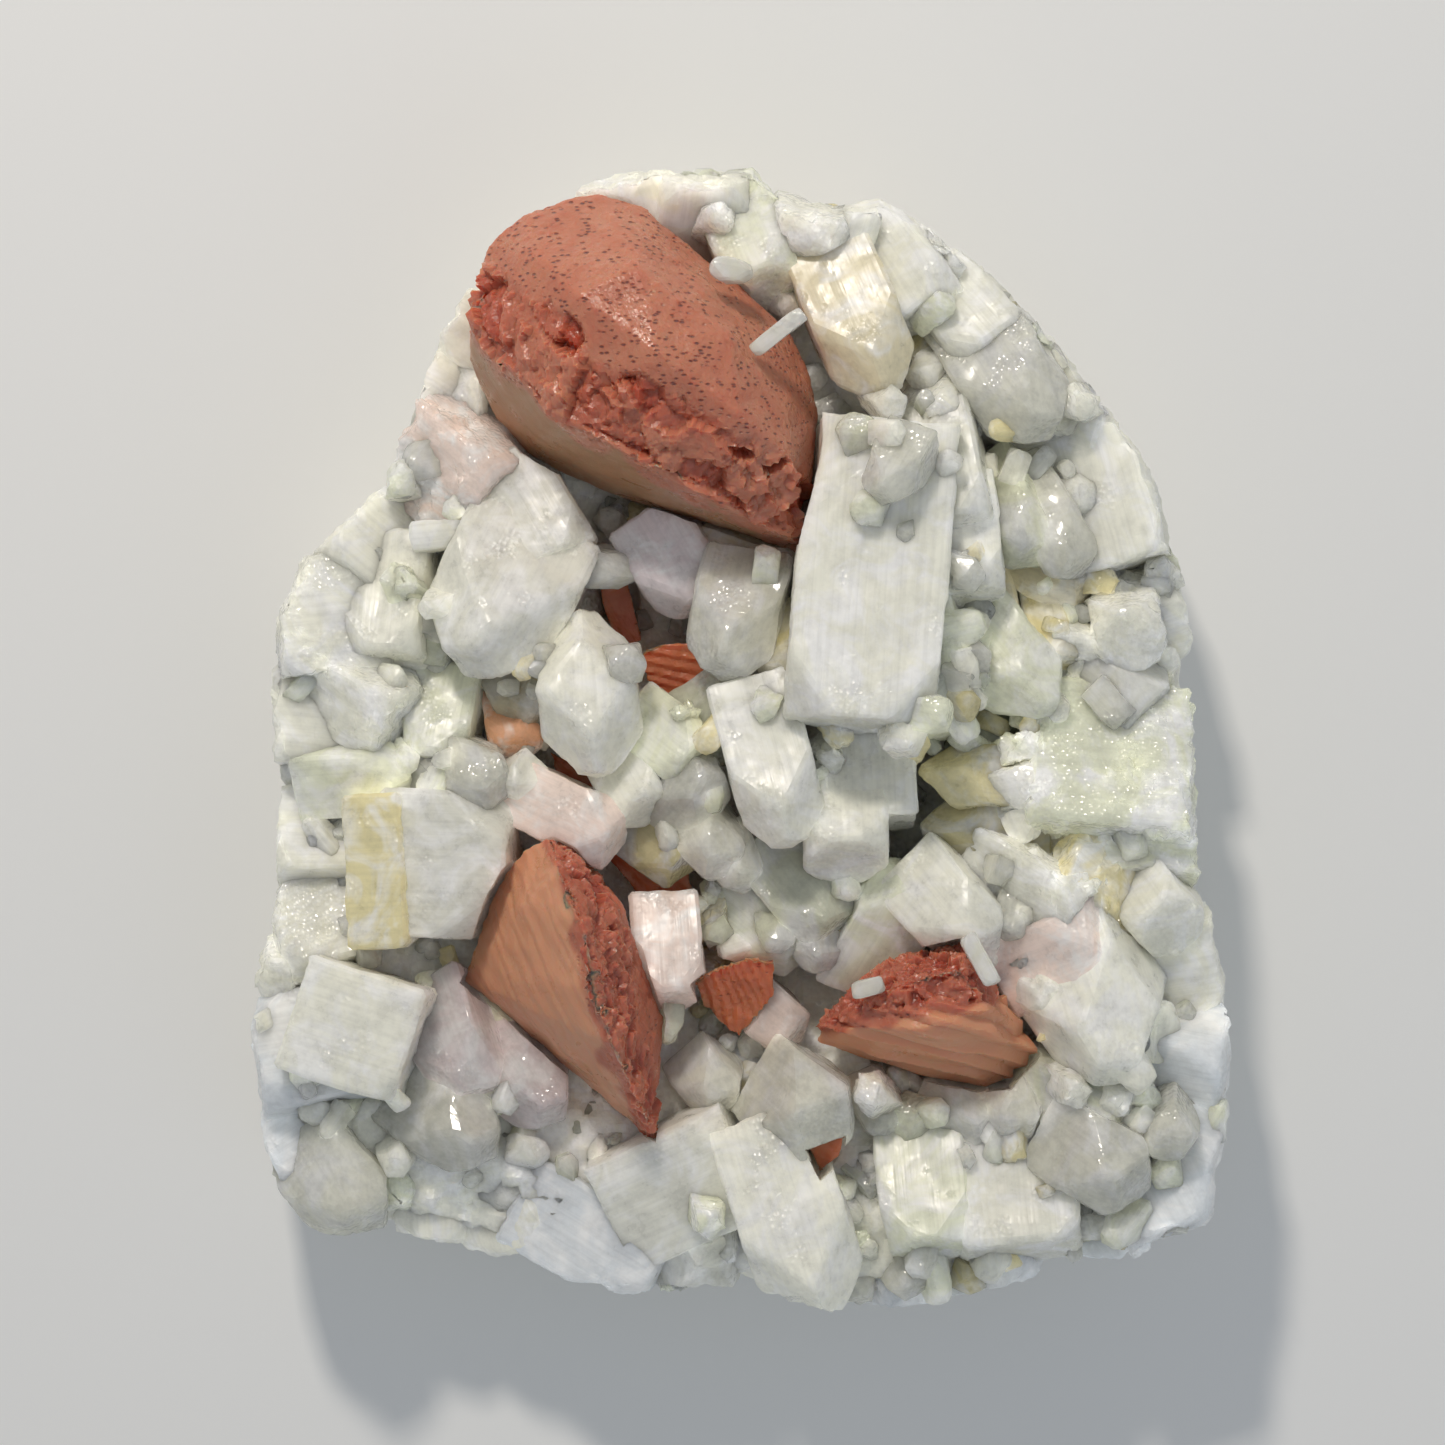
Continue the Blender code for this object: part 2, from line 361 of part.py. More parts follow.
SLIVERS = [
    Crystal("apophyllite_sliver_long", (3.6, 40.3, 35.2), (1.7, 1.6, 6.4), (38, 8, 0), 0.5, True),
    Crystal("apophyllite_sliver_short", (-1.0, 46.6, 32.4), (2.4, 2.2, 4.4), (170, 12, 10), 0.6, True),
    Crystal("apophyllite_sliver_lower", (23.6, -21.4, 30.6), (1.9, 1.6, 5.6), (-62, 12, 0), 0.4, True),
    Crystal("apophyllite_sliver_flat", (12.6, -24.2, 28.6), (1.8, 1.4, 3.4), (15, 10, 0), 0.5, True),
]
SLIVER_HOSTS = {
    "apophyllite_sliver_long": LARGE_HEULANDITE,
    "apophyllite_sliver_short": LARGE_HEULANDITE,
    "apophyllite_sliver_lower": LOWER_HEULANDITE,
    "apophyllite_sliver_flat": LOWER_HEULANDITE,
}


def clear_scene():
    """Remove every object, so that the script can be run again in the same file."""
    for item in list(bpy.data.objects):
        bpy.data.objects.remove(item)


def make_material(name, colour, roughness):
    """A plain finish: its linear colour and roughness."""
    finish = bpy.data.materials.new(name)
    finish.use_nodes = True
    shader = finish.node_tree.nodes["Principled BSDF"]
    shader.inputs["Base Color"].default_value = (*colour, 1.0)
    shader.inputs["Roughness"].default_value = roughness
    shader.inputs["Metallic"].default_value = 0.0
    return finish


def new_object(name, bm, collection, finish=None, helper=False):
    """Turn a bmesh into an object in the collection. A helper isn't part of the specimen."""
    mesh = bpy.data.meshes.new(name)
    bm.to_mesh(mesh)
    bm.free()
    item = bpy.data.objects.new(name, mesh)
    collection.objects.link(item)
    if finish is not None:
        mesh.materials.append(finish)
    if helper:
        item.hide_render = True
        item.display_type = "WIRE"
    return item


def cut_off(bm, point, normal):
    """Cut away what lies beyond a plane and close the cut with one flat face."""
    geometry = bm.verts[:] + bm.edges[:] + bm.faces[:]
    made = bmesh.ops.bisect_plane(
        bm, geom=geometry, dist=1e-7, plane_co=point, plane_no=normal, clear_outer=True
    )
    edges = [item for item in made["geom_cut"] if isinstance(item, bmesh.types.BMEdge)]
    if edges:
        bmesh.ops.edgenet_fill(bm, edges=edges)


def crystal_matrix(crystal):
    """Where the prism stands: local Z runs to its tip, local Y lies level across it."""
    bearing, rise, roll = (math.radians(angle) for angle in crystal.aim)
    turn = (
        Matrix.Rotation(bearing, 4, "Z")
        @ Matrix.Rotation(math.pi / 2 - rise, 4, "Y")
        @ Matrix.Rotation(roll, 4, "Z")
    )
    return Matrix.Translation(Vector(crystal.place) * MM) @ turn


def crystal_mesh(crystal):
    """A square prism whose end corners are cut by the four pyramid faces."""
    across, deep, long = (length * MM for length in crystal.size)
    bm = bmesh.new()
    bmesh.ops.create_cube(bm, size=1.0, matrix=Matrix.Diagonal((deep, across, long, 1.0)))
    if crystal.tip > 0:
        steep = math.radians(PYRAMID_ANGLE)
        point_height = math.hypot(across, deep) / 2 * math.tan(steep)
        apex = long / 2 + (1 - crystal.tip) * point_height
        for end in (1, -1) if crystal.two_ended else (1,):
            for corner in range(4):
                bearing = math.radians(45 + 90 * corner)
                outward = math.sin(steep)
                normal = (outward * math.cos(bearing), outward * math.sin(bearing), math.cos(steep) * end)
                cut_off(bm, Vector((0, 0, apex * end)), Vector(normal))
    bmesh.ops.recalc_face_normals(bm, faces=bm.faces[:])
    return bm


def make_crystal(crystal, collection, helper=True, finish=None):
    """One prism as an object, standing in its place."""
    item = new_object(crystal.name, crystal_mesh(crystal), collection, finish, helper)
    item.matrix_world = crystal_matrix(crystal)
    return item


def lofted_mesh(profile, rough, smooth_below, peak):
    """The silhouette lofted through a profile, closed by a peak, and rough where it's above a height."""
    rng = random.Random(ROCK_SEED)
    bm = bmesh.new()
    rings = []
    for share, height in profile:
        ring = []
        for x, y in SILHOUETTE:
            here = rough if height > smooth_below else 0.0
            inward = share - rng.uniform(0, here) * ROCK_INWARD
            lift = rng.uniform(-here, here) * ROCK_LIFT
            ring.append(bm.verts.new(Vector((x * inward, y * inward, height + lift)) * MM))
        rings.append(ring)
    count = len(SILHOUETTE)
    for lower, upper in zip(rings, rings[1:]):
        for i in range(count):
            j = (i + 1) % count
            bm.faces.new((lower[j], lower[i], upper[i], upper[j]))
    middle = bm.verts.new((0, 0, peak * MM))
    for i in range(count):
        bm.faces.new((rings[-1][(i + 1) % count], rings[-1][i], middle))
    bm.faces.new(rings[0])
    bmesh.ops.triangulate(bm, faces=[face for face in bm.faces if len(face.verts) == 4])
    bmesh.ops.recalc_face_normals(bm, faces=bm.faces[:])
    return bm


def hull_mesh(corners):
    """The flat-faced hull of some points."""
    bm = bmesh.new()
    points = [bm.verts.new(Vector(corner) * MM) for corner in corners]
    made = bmesh.ops.convex_hull(bm, input=points)
    inside = [item for item in made["geom_interior"] if isinstance(item, bmesh.types.BMVert)]
    bmesh.ops.delete(bm, geom=inside, context="VERTS")
    bmesh.ops.recalc_face_normals(bm, faces=bm.faces[:])
    return bm


def grown_corners(corners, gap):
    """The hull's points moved out along their normals, so that its faces move out by about the gap."""
    bm = hull_mesh(corners)
    bm.normal_update()
    grown = [tuple((vert.co + vert.normal * gap * MM * 1.5) / MM) for vert in bm.verts]
    bm.free()
    return grown


def socket_mesh(crystal):
    """The room that a heulandite needs in the plate."""
    grown = grown_corners(crystal.corners, FIT_GAP)
    raised = [(x, y, z + crystal.raise_socket) for x, y, z in grown]
    return hull_mesh(grown + raised)


def block(bm, place, size, bearing, rise, roll):
    """Add one small block to a bmesh, turned as a crystal is."""
    matrix = crystal_matrix(Crystal("", place, size, (bearing, rise, roll), 0.0))
    across, deep, long = (length * MM for length in size)
    bmesh.ops.create_cube(bm, size=1.0, matrix=matrix @ Matrix.Diagonal((deep, across, long, 1.0)))


def add_boolean(item, operation, operand):
    """Join or cut with another object, or with every object of a collection."""
    modifier = item.modifiers.new(operation.title(), "BOOLEAN")
    modifier.operation = operation
    modifier.solver = "EXACT"
    if isinstance(operand, bpy.types.Collection):
        modifier.operand_type = "COLLECTION"
        modifier.collection = operand
    else:
        modifier.object = operand
    return modifier


def make_collection(name):
    """A collection of the scene."""
    collection = bpy.data.collections.new(name)
    bpy.context.scene.collection.children.link(collection)
    return collection


def evenly_along(line, step):
    """Points at equal steps along a line through some corners."""
    corners = [Vector(corner) for corner in line]
    for start, end in zip(corners, corners[1:]):
        count = max(1, round((end - start).length / step))
        for i in range(count):
            yield start.lerp(end, i / count), (end - start).normalized()


def set_blocks(rows, crystal):
    """Blocks in rows beside a line on a crystal's face, each turned and sized a little differently."""
    rng = random.Random(rows.seed)
    body = hull_mesh(crystal.corners)
    tree = BVHTree.FromBMesh(body)
    body.free()
    helpers = make_collection(rows.name)
    for beside in rows.rows:
        for point, along in evenly_along(rows.line, rows.step):
            shift = Vector((rng.uniform(-0.5, 0.5), rng.uniform(-0.5, 0.5)))
            x, y = point + Vector((-along.y, along.x)) * beside + shift
            if any(math.dist((x, y), sliver.place[:2]) < SLIVER_ROOM for sliver in SLIVERS):
                continue
            hit, _, _, _ = tree.ray_cast(Vector((x, y, ABOVE_ALL)) * MM, Vector((0, 0, -1)))
            if hit is None:
                continue
            place = (x, y, hit.z / MM - rows.sink + rng.uniform(-0.4, 0.4))
            size = [length * rng.uniform(0.8, 1.25) for length in rows.size]
            turn = [rows.bearing + rng.uniform(-14, 14), rng.uniform(-22, 8), rng.uniform(-14, 14)]
            bm = bmesh.new()
            block(bm, place, size, *turn)
            new_object(f"{rows.name}_{len(helpers.objects)}", bm, helpers, helper=True)
    return helpers


def islands_of(bm):
    """The separate closed shells of a bmesh, each as a set of faces."""
    left = set(bm.faces)
    shells = []
    while left:
        shell, edge_of_growth = set(), [left.pop()]
        while edge_of_growth:
            face = edge_of_growth.pop()
            shell.add(face)
            for edge in face.edges:
                for other in edge.link_faces:
                    if other in left:
                        left.discard(other)
                        edge_of_growth.append(other)
        shells.append(shell)
    return shells


def keep_outer_shell(item):
    """Apply the modifiers, fill the sealed gaps between crystals and drop crumbs that a socket cut free."""
    graph = bpy.context.evaluated_depsgraph_get()
    mesh = bpy.data.meshes.new_from_object(item.evaluated_get(graph))
    item.modifiers.clear()
    item.data = mesh
    bm = bmesh.new()
    bm.from_mesh(mesh)
    bmesh.ops.remove_doubles(bm, verts=bm.verts[:], dist=WELD * MM)
    shells = sorted(islands_of(bm), key=len, reverse=True)
    extra = [face for shell in shells[1:] for face in shell]
    bmesh.ops.delete(bm, geom=extra, context="FACES")
    bm.to_mesh(mesh)
    bm.free()


def make_heulandite(crystal, collection):
    """One heulandite as the hull of its corners."""
    finish = make_material(crystal.name, crystal.colour, HEULANDITE_ROUGHNESS)
    return new_object(crystal.name, hull_mesh(crystal.corners), collection, finish)


def make_sliver(crystal, collection, guides):
    """One apophyllite sliver, cut so that it sits on its heulandite with a small gap."""
    finish = make_material(crystal.name, CLEAR_WHITE, APOPHYLLITE_ROUGHNESS)
    sliver = make_crystal(crystal, collection, helper=False, finish=finish)
    host = hull_mesh(grown_corners(SLIVER_HOSTS[crystal.name].corners, FIT_GAP))
    add_boolean(sliver, "DIFFERENCE", new_object(f"{crystal.name}_seat", host, guides, helper=True))


def growth_ridges():
    """The long ridges along the lower right heulandite's front face."""
    helpers = make_collection("growth_ridges")
    for number, (start, end) in enumerate(zip(RIDGE_STARTS, RIDGE_ENDS)):
        along = Vector(end) - Vector(start)
        middle = (Vector(start) + Vector(end)) / 2
        bearing = math.degrees(math.atan2(along.y, along.x))
        rise = math.degrees(math.asin(along.z / along.length))
        bm = bmesh.new()
        block(bm, middle, (RIDGE_WIDTH, RIDGE_WIDTH, along.length), bearing, rise, 45)
        new_object(f"growth_ridge_{number}", bm, helpers, helper=True)
    return helpers


def main():
    """Build the specimen."""
    clear_scene()
    specimen = make_collection("heulandite_specimen")
    crystals = make_collection("apophyllite_crystals")
    sockets = make_collection("heulandite_sockets")
    guides = make_collection("guides")

    heulandites = [LARGE_HEULANDITE, WEDGE_HEULANDITE, LOWER_HEULANDITE, FAN_HEULANDITE]
    heulandites += POCKET_HEULANDITES
    made = {}
    for item in heulandites:
        made[item.name] = make_heulandite(item, specimen)
        new_object(f"{item.name}_socket", socket_mesh(item), sockets, helper=True)
    add_boolean(made["heulandite_large"], "UNION", set_blocks(LARGE_MOSAIC, LARGE_HEULANDITE))
    add_boolean(made["heulandite_wedge"], "UNION", set_blocks(WEDGE_MOSAIC, WEDGE_HEULANDITE))
    add_boolean(made["heulandite_lower_right"], "UNION", set_blocks(LOWER_MOSAIC, LOWER_HEULANDITE))
    add_boolean(made["heulandite_lower_right"], "UNION", growth_ridges())

    pale = make_material("apophyllite_plate", PALE_GREEN, APOPHYLLITE_ROUGHNESS)
    plate_body = lofted_mesh(PLATE_RINGS, ROCK_JITTER, 0.0, POCKET_FLOOR)
    plate = new_object("apophyllite_plate", plate_body, specimen, pale)
    rim = new_object("broken_rim", lofted_mesh(RIM_RINGS, 0.0, 0.0, ABOVE_ALL), guides, helper=True)
    for crystal in CRYSTALS:
        make_crystal(crystal, crystals)
    add_boolean(plate, "UNION", crystals)
    add_boolean(plate, "INTERSECT", rim)
    add_boolean(plate, "DIFFERENCE", sockets)
    keep_outer_shell(plate)

    for crystal in SLIVERS:
        make_sliver(crystal, specimen, guides)


main()
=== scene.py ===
"""The looks of a heulandite specimen: milky and clear apophyllite blocks with coral heulandite crystals.

Sizes are in millimetres in the specimen's own frame: +X to the right and +Y to the top as the camera sees it,
+Z towards the camera, and the origin in the middle of the flat back. MM turns them into Blender's metres.
"""

import itertools
import logging
import math
import random
from collections.abc import Iterable, Iterator
from contextlib import contextmanager
from dataclasses import dataclass, field
from enum import Enum

import bpy
import numpy as np
from mathutils import Matrix, Vector
from mathutils.bvhtree import BVHTree


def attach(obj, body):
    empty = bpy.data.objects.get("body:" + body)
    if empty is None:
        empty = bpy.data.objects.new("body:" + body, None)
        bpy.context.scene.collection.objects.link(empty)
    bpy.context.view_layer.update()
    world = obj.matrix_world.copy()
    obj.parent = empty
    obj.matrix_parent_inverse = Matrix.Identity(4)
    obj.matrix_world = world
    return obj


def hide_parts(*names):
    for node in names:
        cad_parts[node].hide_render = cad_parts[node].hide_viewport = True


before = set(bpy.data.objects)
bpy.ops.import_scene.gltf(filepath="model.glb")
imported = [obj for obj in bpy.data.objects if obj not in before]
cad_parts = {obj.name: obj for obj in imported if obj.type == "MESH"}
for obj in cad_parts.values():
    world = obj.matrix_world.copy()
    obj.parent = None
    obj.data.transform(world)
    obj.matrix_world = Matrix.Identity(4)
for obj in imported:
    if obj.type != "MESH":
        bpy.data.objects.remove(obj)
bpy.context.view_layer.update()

MM = 0.001
BODY = "root"
PLATE_NODE = "apophyllite_plate"
log = logging.getLogger("specimen")

# The specimen's silhouette, clockwise from the top left.
SILHOUETTE = [
    (-15.0, 57.6), (-9.2, 58.6), (-4.0, 58.4), (1.2, 58.6), (3.6, 56.2), (9.5, 55.0), (14.2, 55.6),
    (19.6, 52.6), (24.4, 49.0), (29.3, 44.6), (32.6, 40.4), (36.6, 35.2), (41.0, 29.8), (43.2, 24.0),
    (44.8, 17.4), (46.2, 10.6), (46.4, 3.6), (46.2, -3.0), (46.6, -10.6), (48.0, -16.6), (49.4, -23.0),
    (50.2, -32.0), (49.4, -41.0), (47.8, -49.6), (43.4, -50.4), (39.0, -52.8), (33.0, -53.0),
    (27.0, -56.2), (18.8, -58.0), (10.6, -59.0), (3.8, -56.8), (-3.6, -55.4), (-8.6, -56.8),
    (-17.6, -55.0), (-26.4, -52.4), (-36.2, -50.2), (-45.0, -50.0), (-47.6, -45.6), (-49.2, -38.6),
    (-50.2, -30.6), (-49.4, -24.6), (-47.4, -16.0), (-47.2, -6.6), (-48.0, 3.4), (-47.6, 13.0),
    (-44.0, 19.6), (-36.6, 26.2), (-33.6, 33.4), (-30.6, 42.0), (-26.0, 49.6), (-21.0, 54.0),
]
# Share of the silhouette and height, up the broken rim and then down into the pocket.
PLATE_RINGS = [
    (0.90, 0.0), (0.925, 2.5), (0.95, 5.0), (0.97, 8.0), (0.985, 11.0), (0.975, 14.0), (0.95, 17.5),
    (0.84, 19.5), (0.73, 18.0), (0.62, 16.5), (0.48, 14.0), (0.34, 11.5), (0.17, 10.6),
]
RIM_RINGS = [
    (0.905, -1.0), (0.955, 5.0), (0.995, 12.0), (1.0, 19.0), (0.975, 25.0), (0.93, 32.0), (0.88, 45.0),
]
PYRAMID_ANGLE = 60.5


class Habit(Enum):
    """How clear a crystal grew, and so which finish it takes."""

    CLEAR = "clear"
    FROSTED = "frosted"
    MILKY = "milky"
    SUGARY = "sugary"


class Tint(Enum):
    """The faint colours of the apophyllite, as sRGB hex values; the bluish one is painted shade."""

    WHITE = "#F8F7E8"
    GREEN = "#F1F3DA"
    GREY = "#ECEBDE"
    # The bluish tint is painted shade: the cool skylight on the shaded lower edge, put into the crystals' colour.
    BLUE = "#ECF0F2"
    LILAC = "#EEE2E2"
    HONEY = "#F1E6B4"
    TAN = "#EFE5C4"
    BLUSH = "#F7E4D8"
    ORANGE = "#F0B48C"


CLEAR, FROSTED, MILKY, SUGARY = Habit
WHITE, GREEN, GREY, BLUE, LILAC, HONEY, TAN, BLUSH, ORANGE = Tint


def srgb(hex_value: str) -> tuple[float, float, float, float]:
    """Turn an sRGB hex value into Blender's linear colour.

    Args:
        hex_value: The colour as #RRGGBB.

    Returns:
        The linear colour with an alpha of 1.
    """
    channels = [int(hex_value[i : i + 2], 16) / 255 for i in (1, 3, 5)]
    linear = [c / 12.92 if c <= 0.04045 else ((c + 0.055) / 1.055) ** 2.4 for c in channels]
    return (*linear, 1.0)


def per_mm(size: float) -> float:
    """The texture scale that gives features of a size in millimetres on Object coordinates."""
    return 1.0 / (size * MM)


def add_node(
    tree: bpy.types.NodeTree, kind: str, settings: dict | None = None, links: dict | None = None
) -> bpy.types.Node:
    """Add a node with its settings and links.

    Args:
        tree: The node tree.
        kind: The node's type, such as ShaderNodeTexNoise.
        settings: Values by the node's property name, or by the input's name or number.
        links: Output sockets by the input's name or number.

    Returns:
        The new node.
    """
    node = tree.nodes.new(kind)
    for key, value in (settings or {}).items():
        if isinstance(key, str) and hasattr(node, key):
            setattr(node, key, value)
        else:
            node.inputs[key].default_value = value
    for key, socket in (links or {}).items():
        tree.links.new(socket, node.inputs[key])
    return node


def hashed(cells: np.ndarray, seed: int) -> np.ndarray:
    """Make repeatable random numbers for whole-numbered cells.

    Args:
        cells: Cell numbers, one row of three for each point.
        seed: Another seed gives other numbers.

    Returns:
        Three numbers from 0 to 1 for each cell.
    """
    mixed = cells.astype(np.int64) @ np.array([73856093, 19349663, 83492791]) + seed * 2654435761
    rows = []
    for salt in (0x9E3779B9, 0x85EBCA6B, 0xC2B2AE35):
        value = (mixed ^ salt) & 0xFFFFFFFF
        for _ in range(2):
            value = ((value ^ (value >> 16)) * 0x45D9F3B) & 0xFFFFFFFF
        rows.append((value ^ (value >> 16)) / 0xFFFFFFFF)
    return np.stack(rows, axis=-1)


def smooth_noise(points: np.ndarray, size: float, seed: int) -> np.ndarray:
    """Evaluate soft noise.

    Args:
        points: Places, one row each, in millimetres.
        size: The width of one swell, in millimetres.
        seed: Another seed gives another pattern.

    Returns:
        A value from -1 to 1 for each point.
    """
    place = points / size
    corner = np.floor(place).astype(np.int64)
    part = place - corner
    part = part * part * (3 - 2 * part)
    total = np.zeros(len(points))
    for step in itertools.product((0, 1), repeat=3):
        weight = np.prod(np.where(step, part, 1 - part), axis=1)
        total += weight * hashed(corner + np.array(step), seed)[:, 0]
    return total * 2 - 1


def cell_facets(points: np.ndarray, size: float, seed: int) -> tuple[np.ndarray, np.ndarray]:
    """Split space into irregular cells, each with a tilted flat top, as broken or blocky crystal has.

    Args:
        points: Places, one row each, in millimetres.
        size: The width of a cell, in millimetres.
        seed: Another seed gives other cells.

    Returns:
        For each point how far the cell's tilted plane stands out there, and the cell's own level from -1 to 1.
    """
    corner = np.floor(points / size).astype(np.int64)
    nearest = np.full(len(points), np.inf)
    offset = np.zeros_like(points)
    level = np.zeros((len(points), 3))
    for step in itertools.product((-1, 0, 1), repeat=3):
        cell = corner + np.array(step)
        numbers = hashed(cell, seed)
        away = points - (cell + numbers) * size
        distance = np.einsum("ij,ij->i", away, away)
        closer = distance < nearest
        nearest[closer] = distance[closer]
        offset[closer] = away[closer]
        level[closer] = hashed(cell[closer], seed + 1)
    tilt = np.einsum("ij,ij->i", offset, level * 2 - 1) / size
    return tilt, level[:, 0] * 2 - 1


def read_points(piece: bpy.types.Object) -> np.ndarray:
    """The mesh's points in millimetres, one row each."""
    flat = np.empty(len(piece.data.vertices) * 3)
    piece.data.vertices.foreach_get("co", flat)
    return flat.reshape(-1, 3) / MM


def write_points(piece: bpy.types.Object, points: np.ndarray) -> None:
    """Put points in millimetres back into the mesh."""
    piece.data.vertices.foreach_set("co", (points * MM).ravel())
    piece.data.update()


def read_normals(piece: bpy.types.Object) -> np.ndarray:
    """The mesh's point normals, one row each."""
    flat = np.empty(len(piece.data.vertices) * 3)
    piece.data.vertex_normals.foreach_get("vector", flat)
    return flat.reshape(-1, 3)


def store(piece: bpy.types.Object, name: str, values: np.ndarray) -> None:
    """Keep a value, a vector or a colour for each point of the mesh.

    Args:
        piece: The mesh object.
        name: The attribute's name, which a material reads.
        values: One number a point, or rows of three or of four numbers.
    """
    kinds = {1: ("FLOAT", "value"), 3: ("FLOAT_VECTOR", "vector"), 4: ("FLOAT_COLOR", "color")}
    rows = np.asarray(values, dtype=float).reshape(len(piece.data.vertices), -1)
    kind, key = kinds[rows.shape[1]]
    piece.data.attributes.new(name, kind, "POINT").data.foreach_set(key, rows.ravel())


def select_only(pieces: Iterable[bpy.types.Object]) -> None:
    """Select some objects alone, with the last one active."""
    for other in bpy.context.selected_objects:
        other.select_set(False)
    for piece in pieces:
        piece.select_set(True)
        bpy.context.view_layer.objects.active = piece


@contextmanager
def edit_mode(piece: bpy.types.Object) -> Iterator[None]:
    """Edit one object with all of it selected."""
    select_only([piece])
    bpy.ops.object.mode_set(mode="EDIT")
    bpy.ops.mesh.select_all(action="SELECT")
    yield
    bpy.ops.object.mode_set(mode="OBJECT")


def apply_modifier(piece: bpy.types.Object, kind: str, **settings: object) -> None:
    """Add a modifier and apply it.

    Args:
        piece: The object.
        kind: The modifier's type.
        **settings: The modifier's values.
    """
    select_only([piece])
    modifier = piece.modifiers.new(kind.title(), kind)
    for key, value in settings.items():
        setattr(modifier, key, value)
    bpy.ops.object.modifier_apply(modifier=modifier.name)


def add_box(name: str, size: tuple[float, float, float]) -> bpy.types.Object:
    """Add a box at the origin.

    Args:
        name: The object's name.
        size: Its sides in millimetres.

    Returns:
        The box, with its size in its mesh.
    """
    select_only([])
    bpy.ops.mesh.primitive_cube_add(size=1.0)
    box = bpy.context.object
    box.name = name
    box.data.transform(Matrix.Diagonal((*(side * MM for side in size), 1.0)))
    return box


def add_hull(name: str, corners: Iterable[tuple[float, float, float]]) -> bpy.types.Object:
    """Add the flat-faced body round some corner points.

    Args:
        name: The object's name.
        corners: Its points in millimetres.

    Returns:
        The body.
    """
    mesh = bpy.data.meshes.new(name)
    mesh.from_pydata([Vector(corner) * MM for corner in corners], [], [])
    body = bpy.data.objects.new(name, mesh)
    bpy.context.scene.collection.objects.link(body)
    with edit_mode(body):
        bpy.ops.mesh.convex_hull(delete_unused=True, join_triangles=True)
        bpy.ops.mesh.normals_make_consistent(inside=False)
    return body


def join(name: str, pieces: list[bpy.types.Object]) -> bpy.types.Object:
    """Join objects into one.

    Args:
        name: The new object's name.
        pieces: The objects.

    Returns:
        The joined object.
    """
    select_only(pieces)
    bpy.ops.object.join()
    whole = bpy.context.object
    whole.name = whole.data.name = name
    return whole


def publish(piece: bpy.types.Object, slot: str, *nodes: str) -> None:
    """Ride on the body and stand for CAD nodes.

    Args:
        piece: The finished piece.
        slot: The record's material slot; not used.
        *nodes: The CAD nodes that the piece stands for.
    """
    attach(piece, BODY)
    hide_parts(*nodes)
    log.info("%s: %d faces", piece.name, len(piece.data.polygons))


def refine(piece: bpy.types.Object, longest_mm: float) -> None:
    """Split edges until none is longer than a length, which keeps every corner sharp.

    Args:
        piece: The object.
        longest_mm: The greatest length that an edge may keep.
    """
    apply_modifier(piece, "TRIANGULATE", min_vertices=5)
    bpy.context.tool_settings.mesh_select_mode = (False, True, False)
    for _ in range(7):
        ends = np.empty(len(piece.data.edges) * 2, dtype=np.int32)
        piece.data.edges.foreach_get("vertices", ends)
        first, second = read_points(piece)[ends.reshape(-1, 2).T]
        long = np.linalg.norm(first - second, axis=1) > longest_mm
        if not long.any():
            break
        select_only([piece])
        piece.data.vertices.foreach_set("select", np.zeros(len(piece.data.vertices), dtype=bool))
        piece.data.polygons.foreach_set("select", np.zeros(len(piece.data.polygons), dtype=bool))
        piece.data.edges.foreach_set("select", long)
        bpy.ops.object.mode_set(mode="EDIT")
        bpy.ops.mesh.subdivide(number_cuts=1)
        bpy.ops.object.mode_set(mode="OBJECT")
    bpy.context.tool_settings.mesh_select_mode = (True, False, False)


def loft(name: str, outline: np.ndarray, rings: list[tuple[float, float]]) -> bpy.types.Object:
    """Extrude an outline through rings, each a share of its size at a height, and close both ends.

    Args:
        name: The object's name.
        outline: The outline's points in millimetres, one row each.
        rings: The share and the height of each ring, from the bottom.

    Returns:
        The closed body.
    """
    select_only([])
    bpy.ops.mesh.primitive_circle_add(vertices=len(outline), radius=1.0, fill_type="NGON")
    body = bpy.context.object
    body.name = name
    share, height = rings[0]
    write_points(body, np.column_stack([outline * share, np.full(len(outline), height)]))
    with edit_mode(body):
        for next_share, next_height in rings[1:]:
            bpy.ops.mesh.extrude_region_move(
                TRANSFORM_OT_translate={"value": (0, 0, (next_height - height) * MM)}
            )
            factor = next_share / share
            bpy.ops.transform.resize(value=(factor, factor, 1), center_override=(0, 0, next_height * MM))
            share, height = next_share, next_height
        bpy.ops.mesh.poke()
        bpy.ops.mesh.select_all(action="SELECT")
        bpy.ops.mesh.normals_make_consistent(inside=False)
    return body


